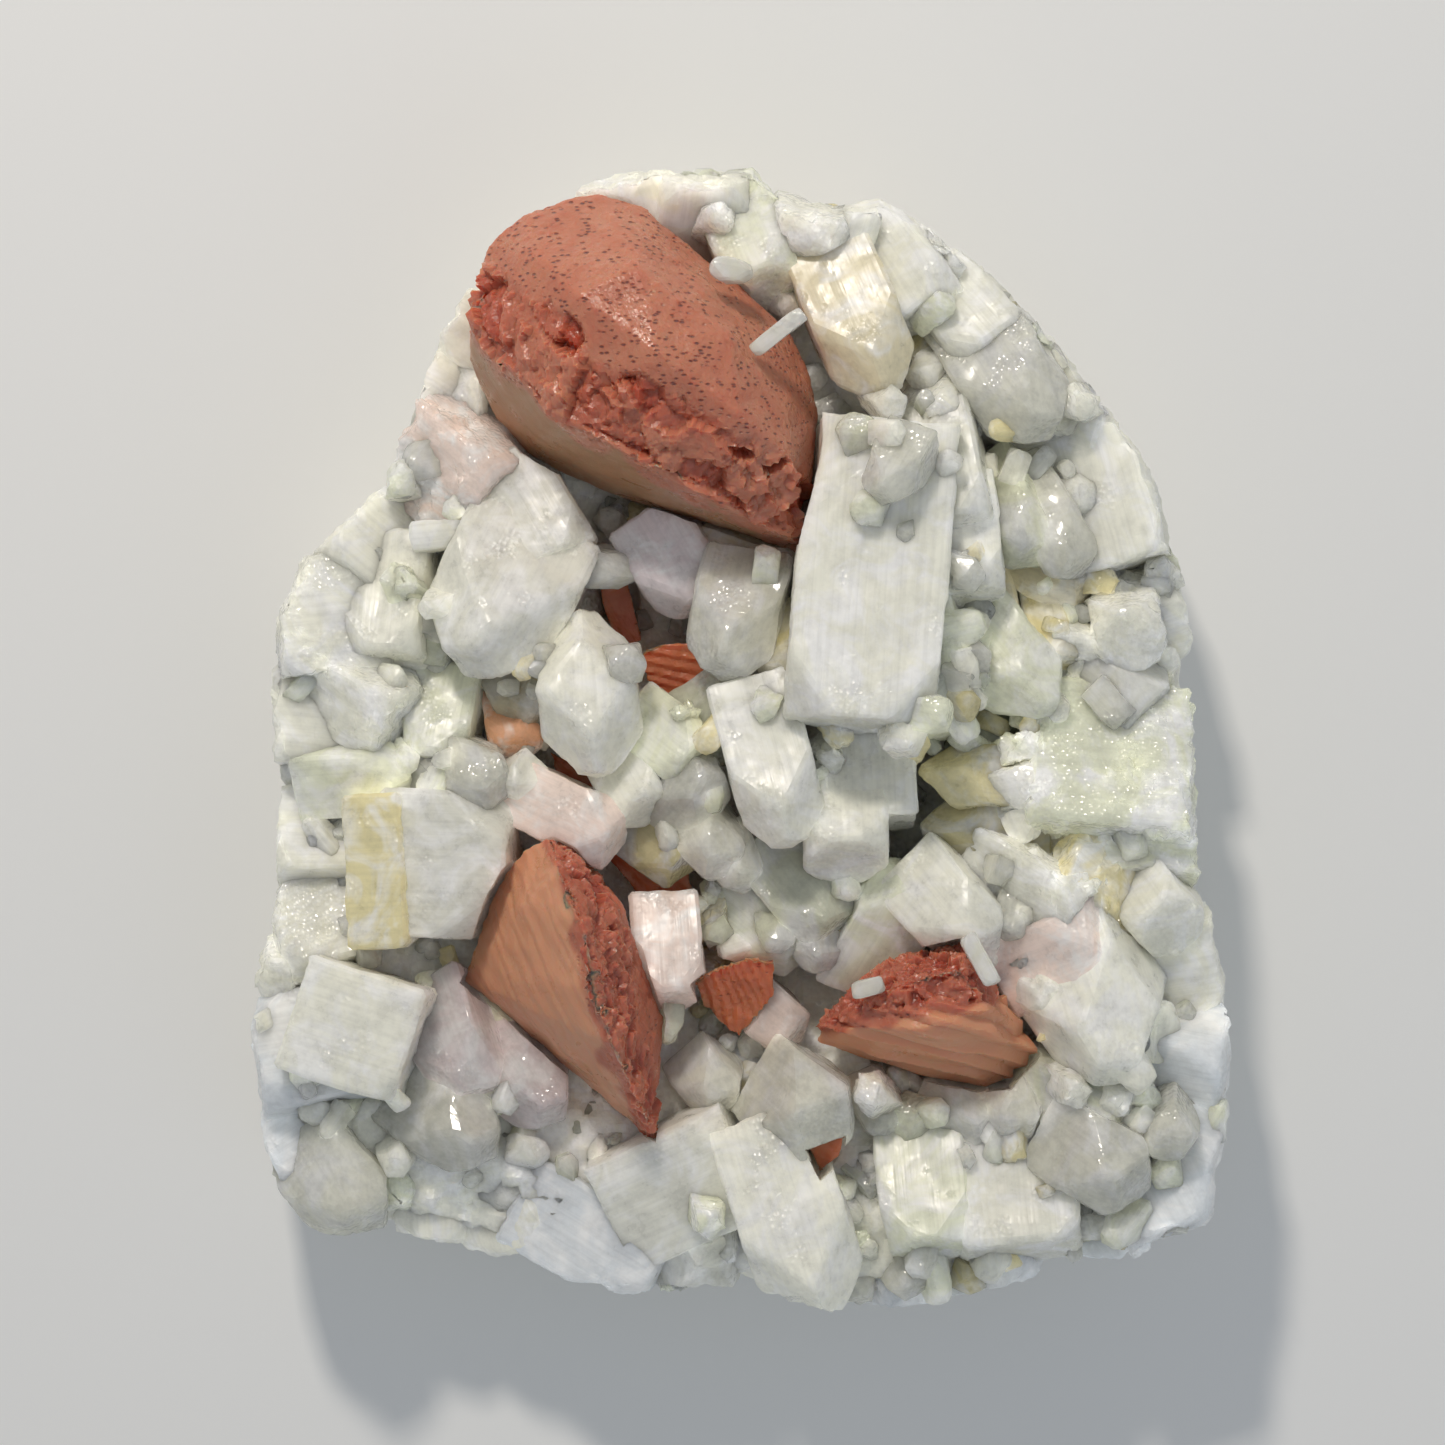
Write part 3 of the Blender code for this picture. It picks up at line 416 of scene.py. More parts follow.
@dataclass
class Rim:
    """The broken outer face, which no crystal passes."""

    flake_mm: float = 3.4
    flake_depth: float = 0.8
    skin: float = 1.3

    def __post_init__(self) -> None:
        """Work out the silhouette's reach at each bearing."""
        outline = np.array(SILHOUETTE)
        closed = np.vstack([outline, outline[:1]])
        steps = np.linspace(0, 1, 12, endpoint=False)[:, None]
        fine = np.vstack([a + (b - a) * steps for a, b in zip(closed, closed[1:])])
        order = np.argsort(np.arctan2(fine[:, 1], fine[:, 0]))
        self.angles = np.arctan2(fine[:, 1], fine[:, 0])[order]
        self.reaches = np.hypot(fine[:, 0], fine[:, 1])[order]

    def limit(self, points: np.ndarray) -> np.ndarray:
        """How far from the middle the broken face is at each point's bearing and height."""
        shares, heights = zip(*RIM_RINGS)
        bearing = np.arctan2(points[:, 1], points[:, 0])
        reach = np.interp(bearing, self.angles, self.reaches, period=2 * math.pi)
        return np.interp(points[:, 2], heights, shares) * reach

    def solid(self) -> bpy.types.Object:
        """Build the body inside the broken face, which the crystals are cut by."""
        body = loft("broken_rim", np.array(SILHOUETTE), RIM_RINGS)
        body.hide_render = True
        return body

    def meets(self, points: np.ndarray) -> bool:
        """Tell whether any of the points passes the broken face."""
        return bool((np.hypot(points[:, 0], points[:, 1]) > self.limit(points) - 0.3).any())

    def roughen(self, points: np.ndarray) -> np.ndarray:
        """Flake the broken face.

        Args:
            points: Places in millimetres.

        Returns:
            The points, with those on the broken face moved in.
        """
        distance = np.hypot(points[:, 0], points[:, 1])
        near = np.clip(1 - (self.limit(points) - distance) / self.skin, 0, 1)
        tilt, level = cell_facets(points, self.flake_mm, 71)
        fine, _ = cell_facets(points, 1.2, 72)
        depth = 0.12 + self.flake_depth * (np.abs(tilt) + 0.5 * np.abs(level)) + 0.3 * np.abs(fine)
        moved = points.copy()
        moved[:, :2] *= (1 - near * depth / np.maximum(distance, 1.0))[:, None]
        return moved


@dataclass(frozen=True)
class Prism:
    """An apophyllite crystal: a square prism whose end corners are cut by four pyramid faces.

    Place is its middle, size is across, deep and long, and aim is the bearing of its tip from +X, the tip's
    rise and the roll about its axis. Tip is how far the pyramid has grown, from 0, a flat end, to 1, a point.
    """

    name: str
    habit: Habit
    tint: Tint
    place: tuple[float, float, float]
    size: tuple[float, float, float]
    aim: tuple[float, float, float]
    tip: float
    two_ended: bool = False

    def matrix(self) -> Matrix:
        """Where the prism stands: local Z runs to its tip."""
        bearing, rise, roll = (math.radians(angle) for angle in self.aim)
        turn = (
            Matrix.Rotation(bearing, 4, "Z")
            @ Matrix.Rotation(math.pi / 2 - rise, 4, "Y")
            @ Matrix.Rotation(roll, 4, "Z")
        )
        return Matrix.Translation(Vector(self.place) * MM) @ turn

    def cuts(self, rng: random.Random) -> Iterator[tuple[Vector, Vector]]:
        """Give the planes that cut the box: the pyramid's faces and a few small natural dents.

        Args:
            rng: The source of the small differences between crystals.

        Yields:
            A point and an outward normal for each plane, in millimetres.
        """
        across, deep, long = self.size
        steep = math.radians(PYRAMID_ANGLE)
        apex = long / 2 + (1 - self.tip) * math.hypot(across, deep) / 2 * math.tan(steep)
        if self.tip > 0:
            for end, corner in itertools.product((1, -1) if self.two_ended else (1,), range(4)):
                bearing = math.radians(45 + 90 * corner + rng.uniform(-3, 3))
                level = math.sin(steep)
                normal = Vector((level * math.cos(bearing), level * math.sin(bearing), math.cos(steep) * end))
                yield Vector((0, 0, (apex + rng.uniform(-0.5, 0.3)) * end)), normal
        for _ in range(2):
            corner = Vector((rng.choice((-deep, deep)), rng.choice((-across, across)), long)) / 2
            normal = Vector([math.copysign(rng.uniform(0.4, 1), side) for side in corner]).normalized()
            yield corner - normal * min(self.size) * rng.uniform(0.07, 0.16), normal

    def build(self, rng: random.Random) -> bpy.types.Object:
        """Model the crystal's sharp form in its place.

        Args:
            rng: The source of the small differences between crystals.

        Returns:
            The crystal.
        """
        across, deep, long = self.size
        body = add_box(self.name, (deep, across, long))
        for point, normal in self.cuts(rng):
            with edit_mode(body):
                bpy.ops.mesh.bisect(plane_co=point * MM, plane_no=normal, use_fill=True, clear_outer=True)
        apply_modifier(body, "BEVEL", width=rng.uniform(0.2, 0.5) * MM, segments=1, limit_method="ANGLE")
        body.data.transform(self.matrix())
        return body

    def mark(self, body: bpy.types.Object, rng: random.Random) -> None:
        """Store the crystal's own coordinates, its axis and its tint on its mesh.

        Args:
            body: The carved crystal.
            rng: The source of the small differences between crystals.
        """
        matrix = np.array(self.matrix())
        count = len(body.data.vertices)
        own = (read_points(body) - matrix[:3, 3] / MM) @ matrix[:3, :3]
        shade = rng.uniform(0.9, 1.03)
        tint = np.array(srgb(self.tint.value)) * (shade, shade, shade, 1.0)
        store(body, "grain", own + rng.randrange(1000) * 13.0)
        store(body, "axis", np.tile(matrix[:3, 2], (count, 1)))
        store(body, "tint", np.tile(tint, (count, 1)))


PRISMS = [
    # Along the top edge.
    Prism("top_left_crest", MILKY, WHITE, (-10.6, 54.4, 19.0), (9.5, 9.0, 12.0), (110, 35, 20), 0.4),
    Prism("top_crest", MILKY, WHITE, (-4.1, 54.6, 20.0), (9.0, 9.0, 12.0), (80, 45, 10), 0.3),
    Prism("top_notch_block", FROSTED, GREEN, (0.4, 51.6, 21.0), (8.0, 8.0, 15.0), (-70, 30, 0), 0.35),
    Prism("frosted_end", SUGARY, WHITE, (7.4, 53.1, 22.5), (6.5, 6.5, 12.0), (-100, 75, 30), 0.35),
    Prism("upper_pointed_prism", FROSTED, TAN, (11.4, 42.3, 25.0), (9.0, 8.0, 18.0), (-68, 22, 0), 0.8),
    Prism("crest_right_inner", MILKY, WHITE, (15.4, 48.6, 19.5), (10.0, 10.0, 15.0), (-60, 20, 15), 0.3),
    Prism("crest_right_outer", MILKY, WHITE, (21.9, 44.4, 19.5), (10.0, 9.0, 15.0), (-50, 25, -10), 0.3),
    Prism("clear_window", CLEAR, WHITE, (26.9, 36.8, 23.0), (10.0, 9.0, 15.0), (-60, 30, 5), 0.7),
    Prism("rim_upper_right", MILKY, WHITE, (32.8, 35.0, 17.5), (12.0, 10.0, 12.0), (-20, 20, 10), 0.25),
    Prism("rim_smooth_block", MILKY, WHITE, (36.8, 24.3, 18.5), (13.0, 11.0, 14.0), (-75, 8, 15), 0.15),
    Prism("small_bright_end", SUGARY, WHITE, (19.9, 33.8, 22.0), (5.5, 5.5, 9.0), (-80, 60, 20), 0.4),
    Prism("behind_bright_end", FROSTED, HONEY, (20.9, 39.3, 19.0), (7.0, 6.0, 10.0), (-60, 30, 0), 0.5),
    # Around the large striated prism, right of the middle.
    Prism("large_striated", MILKY, WHITE, (12.9, 16.6, 27.0), (15.0, 12.0, 30.0), (-95, 8, 0), 0.35),
    Prism("striated_foot", FROSTED, GREEN, (17.4, 8.8, 22.5), (12.0, 10.0, 17.0), (-75, 14, 12), 0.6),
    Prism("rider_on_striated", CLEAR, WHITE, (15.4, 27.4, 33.5), (5.5, 5.0, 8.0), (-120, 25, 20), 0.6),
    Prism("beside_striated_upper", FROSTED, WHITE, (20.9, 27.3, 25.0), (7.0, 7.0, 13.0), (-80, 25, 10), 0.4),
    Prism("beside_striated_lower", FROSTED, WHITE, (21.9, 20.3, 24.0), (8.0, 8.0, 12.0), (-85, 20, 0), 0.3),
    Prism("twin_left", CLEAR, GREEN, (27.4, 23.3, 22.0), (7.0, 7.0, 12.0), (-70, 35, 25), 0.6),
    Prism("twin_right", CLEAR, WHITE, (30.9, 22.3, 22.0), (6.0, 7.0, 13.0), (-60, 30, 0), 0.6),
    Prism("twin_foot", FROSTED, TAN, (32.0, 17.6, 19.0), (7.0, 7.0, 9.0), (-30, 30, 10), 0.5),
    Prism("ledge_prism", FROSTED, TAN, (24.6, 15.3, 18.5), (6.0, 6.0, 9.0), (-75, 15, 0), 0.3),
    Prism("pointed_right", FROSTED, GREEN, (27.1, 7.5, 22.5), (9.0, 8.0, 13.0), (-50, 32, 0), 0.8),
    Prism("honey_prism", FROSTED, HONEY, (31.4, 11.8, 20.0), (4.5, 4.5, 9.0), (-80, 30, 20), 0.4),
    Prism("pearly_end", SUGARY, WHITE, (38.9, 12.3, 20.0), (7.0, 7.0, 10.0), (-90, 65, 10), 0.35),
    Prism("rim_right_middle", MILKY, WHITE, (41.6, 13.6, 15.0), (9.0, 9.0, 10.0), (20, 20, 30), 0.3),
    Prism("grey_notch", MILKY, GREY, (36.9, 6.3, 18.0), (8.0, 8.0, 12.0), (-40, 20, 30), 0.4),
    # The coarse mass on the right and the two points that leave it.
    Prism("right_mass", SUGARY, GREEN, (36.9, -2.9, 17.5), (15.0, 13.0, 18.0), (175, 9, 20), 0.15),
    Prism("right_mass_low", SUGARY, GREEN, (40.4, -10.2, 15.5), (10.0, 10.0, 11.0), (170, 10, 30), 0.2),
    Prism("left_pointer_upper", FROSTED, HONEY, (24.4, -3.7, 21.0), (6.5, 6.0, 13.0), (172, 15, 20), 0.85),
    Prism("left_pointer_lower", CLEAR, HONEY, (24.4, -8.5, 20.0), (6.0, 6.0, 13.0), (180, 12, 0), 0.85),
    Prism("above_pointer", CLEAR, GREEN, (24.4, 0.8, 18.0), (5.0, 5.0, 8.0), (-130, 30, 15), 0.6),
    Prism("frosted_middle", FROSTED, WHITE, (20.9, -16.5, 23.0), (8.5, 7.0, 12.0), (-50, 32, 10), 0.6),
    Prism("smooth_leaning", FROSTED, GREEN, (14.4, -18.7, 18.5), (8.0, 7.0, 14.0), (60, 22, 10), 0.5),
    Prism("coarse_inner", SUGARY, WHITE, (28.9, -15.7, 20.0), (11.0, 9.0, 13.0), (-30, 20, 20), 0.3),
    Prism("coarse_outer", SUGARY, HONEY, (34.9, -15.2, 19.0), (10.0, 9.0, 12.0), (140, 25, 30), 0.4),
    Prism("right_small_block", MILKY, WHITE, (42.0, -16.2, 20.0), (7.0, 7.0, 9.0), (-60, 55, 15), 0.3),
    Prism("faceted_boss", FROSTED, WHITE, (35.9, -27.2, 22.0), (13.0, 11.0, 15.0), (-75, 35, 30), 0.75),
    Prism("boss_shoulder", FROSTED, BLUSH, (32.0, -20.7, 21.0), (9.0, 9.0, 12.0), (20, 30, 10), 0.4),
    Prism("rim_right_low_upper", MILKY, WHITE, (45.0, -22.4, 15.0), (10.0, 10.0, 9.0), (10, 12, 20), 0.3),
    # The bluish tint on these lower right rim crystals is painted shade.
    Prism("rim_right_low_middle", MILKY, BLUE, (44.2, -32.0, 16.0), (11.0, 10.0, 12.0), (-10, 18, 35), 0.3),
    Prism("rim_right_low_lower", MILKY, BLUE, (44.0, -40.4, 16.0), (10.0, 9.0, 11.0), (-20, 20, 10), 0.4),
    Prism("corner_lower_right", MILKY, BLUE, (42.4, -45.6, 16.5), (11.0, 10.0, 11.0), (-60, 20, 0), 0.3),
    # Along the lower edge, right to left. The bluish tint on the rim crystals here is painted shade.
    Prism("round_end", CLEAR, WHITE, (43.1, -38.2, 21.5), (5.0, 5.0, 8.0), (-100, 60, 45), 0.5),
    Prism("bright_low_right", CLEAR, WHITE, (35.7, -41.7, 22.0), (9.0, 8.0, 11.0), (-35, 40, 10), 0.6),
    Prism("ridge_low_right", CLEAR, GREEN, (33.9, -35.2, 19.5), (7.0, 7.0, 12.0), (-20, 25, 30), 0.6),
    Prism("lower_rim_right", MILKY, BLUE, (36.6, -48.4, 13.0), (10.0, 9.0, 10.0), (-50, 5, 20), 0.4),
    Prism("bottom_block", MILKY, WHITE, (27.9, -45.2, 18.0), (12.0, 9.0, 13.0), (-85, 20, 0), 0.15),
    Prism("bottom_column", MILKY, GREEN, (18.9, -44.2, 18.0), (9.0, 8.0, 15.0), (-85, 25, 10), 0.4),
    Prism("lower_rim_middle", FROSTED, BLUE, (24.4, -50.4, 13.0), (12.0, 9.0, 11.0), (-80, 0, 15), 0.3),
    Prism("lower_rim_round", FROSTED, BLUE, (17.0, -53.0, 13.0), (9.0, 9.0, 10.0), (-95, 8, 30), 0.6),
    Prism("blue_grey_point", FROSTED, BLUE, (11.4, -55.4, 9.0), (4.0, 4.0, 8.5), (-88, 0, 20), 0.8),
    Prism("long_ribbed", FROSTED, WHITE, (5.4, -48.4, 21.5), (11.0, 9.0, 22.0), (-72, 12, 0), 0.85),
    Prism("shaded_block", FROSTED, GREY, (-6.1, -44.2, 17.5), (12.0, 9.0, 15.0), (25, 10, 10), 0.3),
    Prism("below_shaded_block", FROSTED, GREY, (-4.1, -50.6, 14.0), (9.0, 8.0, 11.0), (-100, 5, 20), 0.5),
    Prism("lower_left_slab", MILKY, BLUE, (-15.1, -49.8, 15.0), (10.0, 9.0, 16.0), (-30, 8, 10), 0.5),
    Prism("lower_left_fill", MILKY, WHITE, (-24.1, -46.2, 12.5), (10.0, 9.0, 12.0), (-70, 5, 25), 0.3),
    Prism("bottom_left_rim", MILKY, WHITE, (-31.1, -46.4, 12.0), (8.0, 8.0, 10.0), (-90, 5, 10), 0.3),
    Prism("orange_eyed", CLEAR, WHITE, (-40.6, -44.6, 17.0), (10.0, 9.0, 11.0), (-55, 35, 20), 0.6),
    Prism("left_corner", MILKY, BLUE, (-43.6, -40.6, 13.0), (10.0, 10.0, 11.0), (-150, 12, 10), 0.3),
    # Up the left edge.
    Prism("left_square_slab", FROSTED, WHITE, (-38.6, -28.7, 21.5), (12.0, 9.0, 12.5), (-18, 6, 0), 0.0),
    # The bluish tint on this low rim crystal is painted shade.
    Prism("left_rim_low", MILKY, BLUE, (-44.4, -31.7, 15.5), (12.0, 11.0, 11.0), (190, 12, 15), 0.3),
    Prism("lilac_prism", CLEAR, LILAC, (-28.6, -30.2, 18.0), (8.0, 8.0, 13.0), (-70, 25, 20), 0.6),
    Prism("lilac_end", CLEAR, LILAC, (-21.6, -34.2, 17.5), (8.5, 8.0, 11.0), (-50, 40, 10), 0.7),
    Prism("flecked_prism", CLEAR, GREY, (-29.6, -38.2, 18.5), (9.0, 8.0, 12.0), (-35, 35, 0), 0.7),
    Prism("dull_grey", FROSTED, GREY, (-24.1, -42.4, 13.0), (9.0, 8.0, 11.0), (-60, 20, 10), 0.4),
    Prism("honey_slab", FROSTED, HONEY, (-36.3, -12.7, 21.5), (15.5, 9.0, 6.0), (3, 5, 0), 0.0),
    Prism("pale_block", FROSTED, GREY, (-29.3, -12.2, 20.5), (15.0, 10.0, 13.0), (-2, 8, 0), 0.45),
    Prism("bright_pair_right", CLEAR, WHITE, (-27.1, -3.2, 21.5), (7.0, 6.5, 9.0), (-25, 45, 10), 0.6),
    Prism("bright_pair_left", CLEAR, WHITE, (-30.6, -2.7, 19.0), (5.5, 5.5, 8.0), (-90, 40, 0), 0.5),
    Prism("smooth_above_pair", FROSTED, GREEN, (-30.1, 2.3, 18.0), (7.0, 7.0, 10.0), (-100, 25, 10), 0.4),
    Prism("left_point", FROSTED, GREEN, (-38.6, -3.2, 19.0), (7.0, 7.0, 12.0), (5, 15, 20), 0.7),
    Prism("left_rim_middle", MILKY, WHITE, (-42.6, 2.3, 15.5), (10.0, 10.0, 12.0), (175, 8, 10), 0.2),
    Prism("left_rim_shelf", SUGARY, WHITE, (-38.4, 4.6, 19.0), (8.0, 8.0, 11.0), (-30, 25, 30), 0.3),
    Prism("left_rim_below_point", MILKY, WHITE, (-42.8, -10.7, 14.0), (10.0, 10.0, 12.0), (180, 8, 30), 0.2),
    Prism("left_rim_above_slab", SUGARY, WHITE, (-42.6, -18.6, 15.5), (10.0, 9.0, 11.0), (200, 15, 15), 0.3),
    Prism("bright_chip", SUGARY, WHITE, (-47.2, -22.2, 17.0), (4.5, 4.5, 7.0), (-100, 60, 10), 0.3),
    Prism("frosted_block", SUGARY, WHITE, (-42.0, 12.8, 17.5), (12.0, 10.0, 11.0), (185, 12, 5), 0.15),
    Prism("left_upper_prism", FROSTED, WHITE, (-35.1, 14.3, 18.5), (8.0, 8.0, 13.0), (-95, 20, 15), 0.3),
    Prism("left_upper_crest", MILKY, WHITE, (-37.4, 19.2, 15.5), (10.0, 10.0, 11.0), (140, 15, 25), 0.2),
    Prism("great_smooth", FROSTED, GREY, (-24.1, 14.3, 22.0), (14.0, 10.0, 16.0), (-115, 28, 0), 0.7),
    Prism("above_great_smooth", FROSTED, GREY, (-21.6, 23.0, 19.5), (10.0, 8.0, 12.0), (-60, 15, 0), 0.3),
    Prism("splinter", CLEAR, WHITE, (-14.1, 17.8, 20.5), (4.0, 4.0, 9.0), (-15, 15, 20), 0.9),
    Prism("pink_lump", SUGARY, BLUSH, (-28.6, 27.8, 17.5), (11.0, 9.0, 12.0), (-40, 20, 30), 0.3),
    Prism("thin_bar", MILKY, WHITE, (-29.1, 21.0, 22.0), (3.0, 3.0, 8.0), (5, 5, 0), 0.0),
    Prism("upper_left_rim_low", MILKY, WHITE, (-30.0, 34.2, 13.5), (9.0, 9.0, 10.0), (150, 12, 20), 0.2),
    Prism("upper_left_rim_high", MILKY, WHITE, (-26.6, 41.6, 13.0), (8.0, 8.0, 9.0), (150, 12, 5), 0.2),
    # The middle, around the pocket.
    Prism("double_point", FROSTED, WHITE, (-15.3, 5.0, 23.5), (10.0, 9.0, 17.0), (-85, 12, 0), 0.8, True),
    Prism("bright_centre", CLEAR, WHITE, (-0.4, 12.3, 23.5), (9.0, 8.5, 13.0), (-105, 32, 10), 0.7),
    Prism("dusky_prism", FROSTED, LILAC, (-6.6, 18.3, 19.5), (8.5, 7.0, 11.0), (-60, 15, 10), 0.6),
    Prism("under_coral", FROSTED, TAN, (0.9, 18.8, 18.5), (7.0, 6.0, 10.0), (-20, 15, 0), 0.3),
    Prism("yellow_cluster", CLEAR, HONEY, (5.4, 8.8, 22.5), (7.0, 6.0, 9.0), (-70, 45, 20), 0.6),
    Prism("ribbed_prism", FROSTED, WHITE, (2.9, -2.2, 25.5), (8.5, 8.0, 17.0), (-75, 18, 0), 0.75),
    Prism("round_middle", CLEAR, WHITE, (-4.8, -4.7, 21.5), (7.0, 6.5, 9.0), (50, 45, 10), 0.7),
    Prism("square_right", FROSTED, WHITE, (10.4, -7.7, 22.5), (8.5, 8.0, 10.0), (-88, 35, 0), 0.3),
    Prism("tall_plate", FROSTED, GREY, (12.9, -1.7, 20.5), (9.0, 8.0, 13.0), (-88, 15, 0), 0.1),
    Prism("middle_block_left", FROSTED, GREEN, (-7.1, 0.3, 20.5), (7.0, 7.0, 9.0), (-40, 30, 0), 0.4),
    Prism("middle_block_right", CLEAR, GREEN, (-2.6, 2.3, 20.5), (6.0, 6.0, 8.0), (-70, 40, 20), 0.4),
    Prism("little_square", FROSTED, WHITE, (-11.6, -3.7, 20.5), (6.0, 5.5, 9.0), (-60, 35, 0), 0.4),
    Prism("chisel_end", FROSTED, BLUSH, (-17.6, -7.2, 21.5), (7.0, 6.0, 12.0), (-25, 20, 0), 0.5),
    Prism("tan_under_chisel", CLEAR, HONEY, (-8.6, -9.7, 18.0), (7.0, 6.0, 9.0), (-40, 25, 10), 0.5),
    Prism("bright_middle_left", CLEAR, WHITE, (-3.1, -9.7, 20.5), (6.0, 6.0, 8.0), (-60, 40, 20), 0.6),
    Prism("bright_middle_right", CLEAR, WHITE, (-0.6, -11.7, 19.5), (5.0, 5.0, 7.0), (-70, 45, 0), 0.6),
    Prism("low_pointed", CLEAR, GREEN, (5.9, -14.2, 19.5), (8.0, 6.0, 12.0), (-50, 20, 0), 0.6),
    Prism("low_smooth", FROSTED, GREEN, (2.4, -17.7, 16.5), (8.0, 7.0, 11.0), (-40, 20, 20), 0.5),
    Prism("flecked_tip", CLEAR, WHITE, (7.4, -19.7, 18.5), (5.5, 5.0, 8.0), (-60, 40, 10), 0.6),
    Prism("pink_block", FROSTED, BLUSH, (-7.3, -21.0, 20.5), (7.0, 6.5, 11.0), (-85, 25, 0), 0.4),
    Prism("fan_mate", CLEAR, BLUSH, (2.6, -27.2, 16.5), (6.0, 5.0, 9.0), (-40, 25, 0), 0.5),
    Prism("low_bright", CLEAR, WHITE, (-3.1, -34.2, 17.5), (6.0, 5.5, 7.0), (-60, 40, 20), 0.6),
    Prism("low_window", CLEAR, WHITE, (6.2, -36.5, 21.0), (9.5, 8.0, 10.0), (-40, 55, 10), 0.5),
    Prism("low_row_1", CLEAR, WHITE, (13.9, -36.7, 17.5), (5.0, 5.0, 7.0), (-60, 45, 0), 0.6),
    Prism("low_row_2", CLEAR, GREEN, (17.4, -38.7, 17.5), (5.0, 5.0, 7.0), (100, 45, 10), 0.6),
    Prism("low_row_3", CLEAR, WHITE, (22.4, -37.2, 18.5), (6.0, 6.0, 8.0), (-30, 45, 10), 0.6),
    Prism("low_row_4", CLEAR, WHITE, (27.4, -36.2, 19.5), (6.0, 6.0, 8.0), (-80, 40, 30), 0.6),
    Prism("pocket_bead_1", CLEAR, GREEN, (-16.6, -38.2, 14.5), (4.0, 4.0, 7.0), (-90, 50, 0), 0.7),
    Prism("pocket_bead_2", CLEAR, WHITE, (-14.6, -41.7, 14.5), (5.0, 5.0, 8.0), (-70, 50, 20), 0.7),
    # The bluish tint on this low pocket crystal is painted shade.
    Prism("pocket_bead_3", FROSTED, BLUE, (-18.1, -44.2, 14.0), (6.0, 5.0, 9.0), (-90, 40, 10), 0.7),
    Prism("beige_behind", CLEAR, TAN, (-22.1, 5.3, 17.0), (7.0, 6.0, 9.0), (-60, 30, 0), 0.5),
    Prism("orange_flecked", FROSTED, ORANGE, (-23.1, 1.8, 17.5), (5.5, 5.0, 7.0), (-80, 45, 0), 0.4),
]
SLIVERS = {
    "apophyllite_sliver_long": (CLEAR, (3.6, 40.3, 35.2), (1.7, 1.6, 6.4), (38, 8, 0), 0.5),
    "apophyllite_sliver_short": (CLEAR, (-1.0, 46.6, 32.4), (2.4, 2.2, 4.4), (170, 12, 10), 0.6),
    "apophyllite_sliver_lower": (CLEAR, (23.6, -21.4, 30.6), (1.9, 1.6, 5.6), (-62, 12, 0), 0.4),
    "apophyllite_sliver_flat": (CLEAR, (12.6, -24.2, 28.6), (1.8, 1.4, 3.4), (15, 10, 0), 0.5),
}


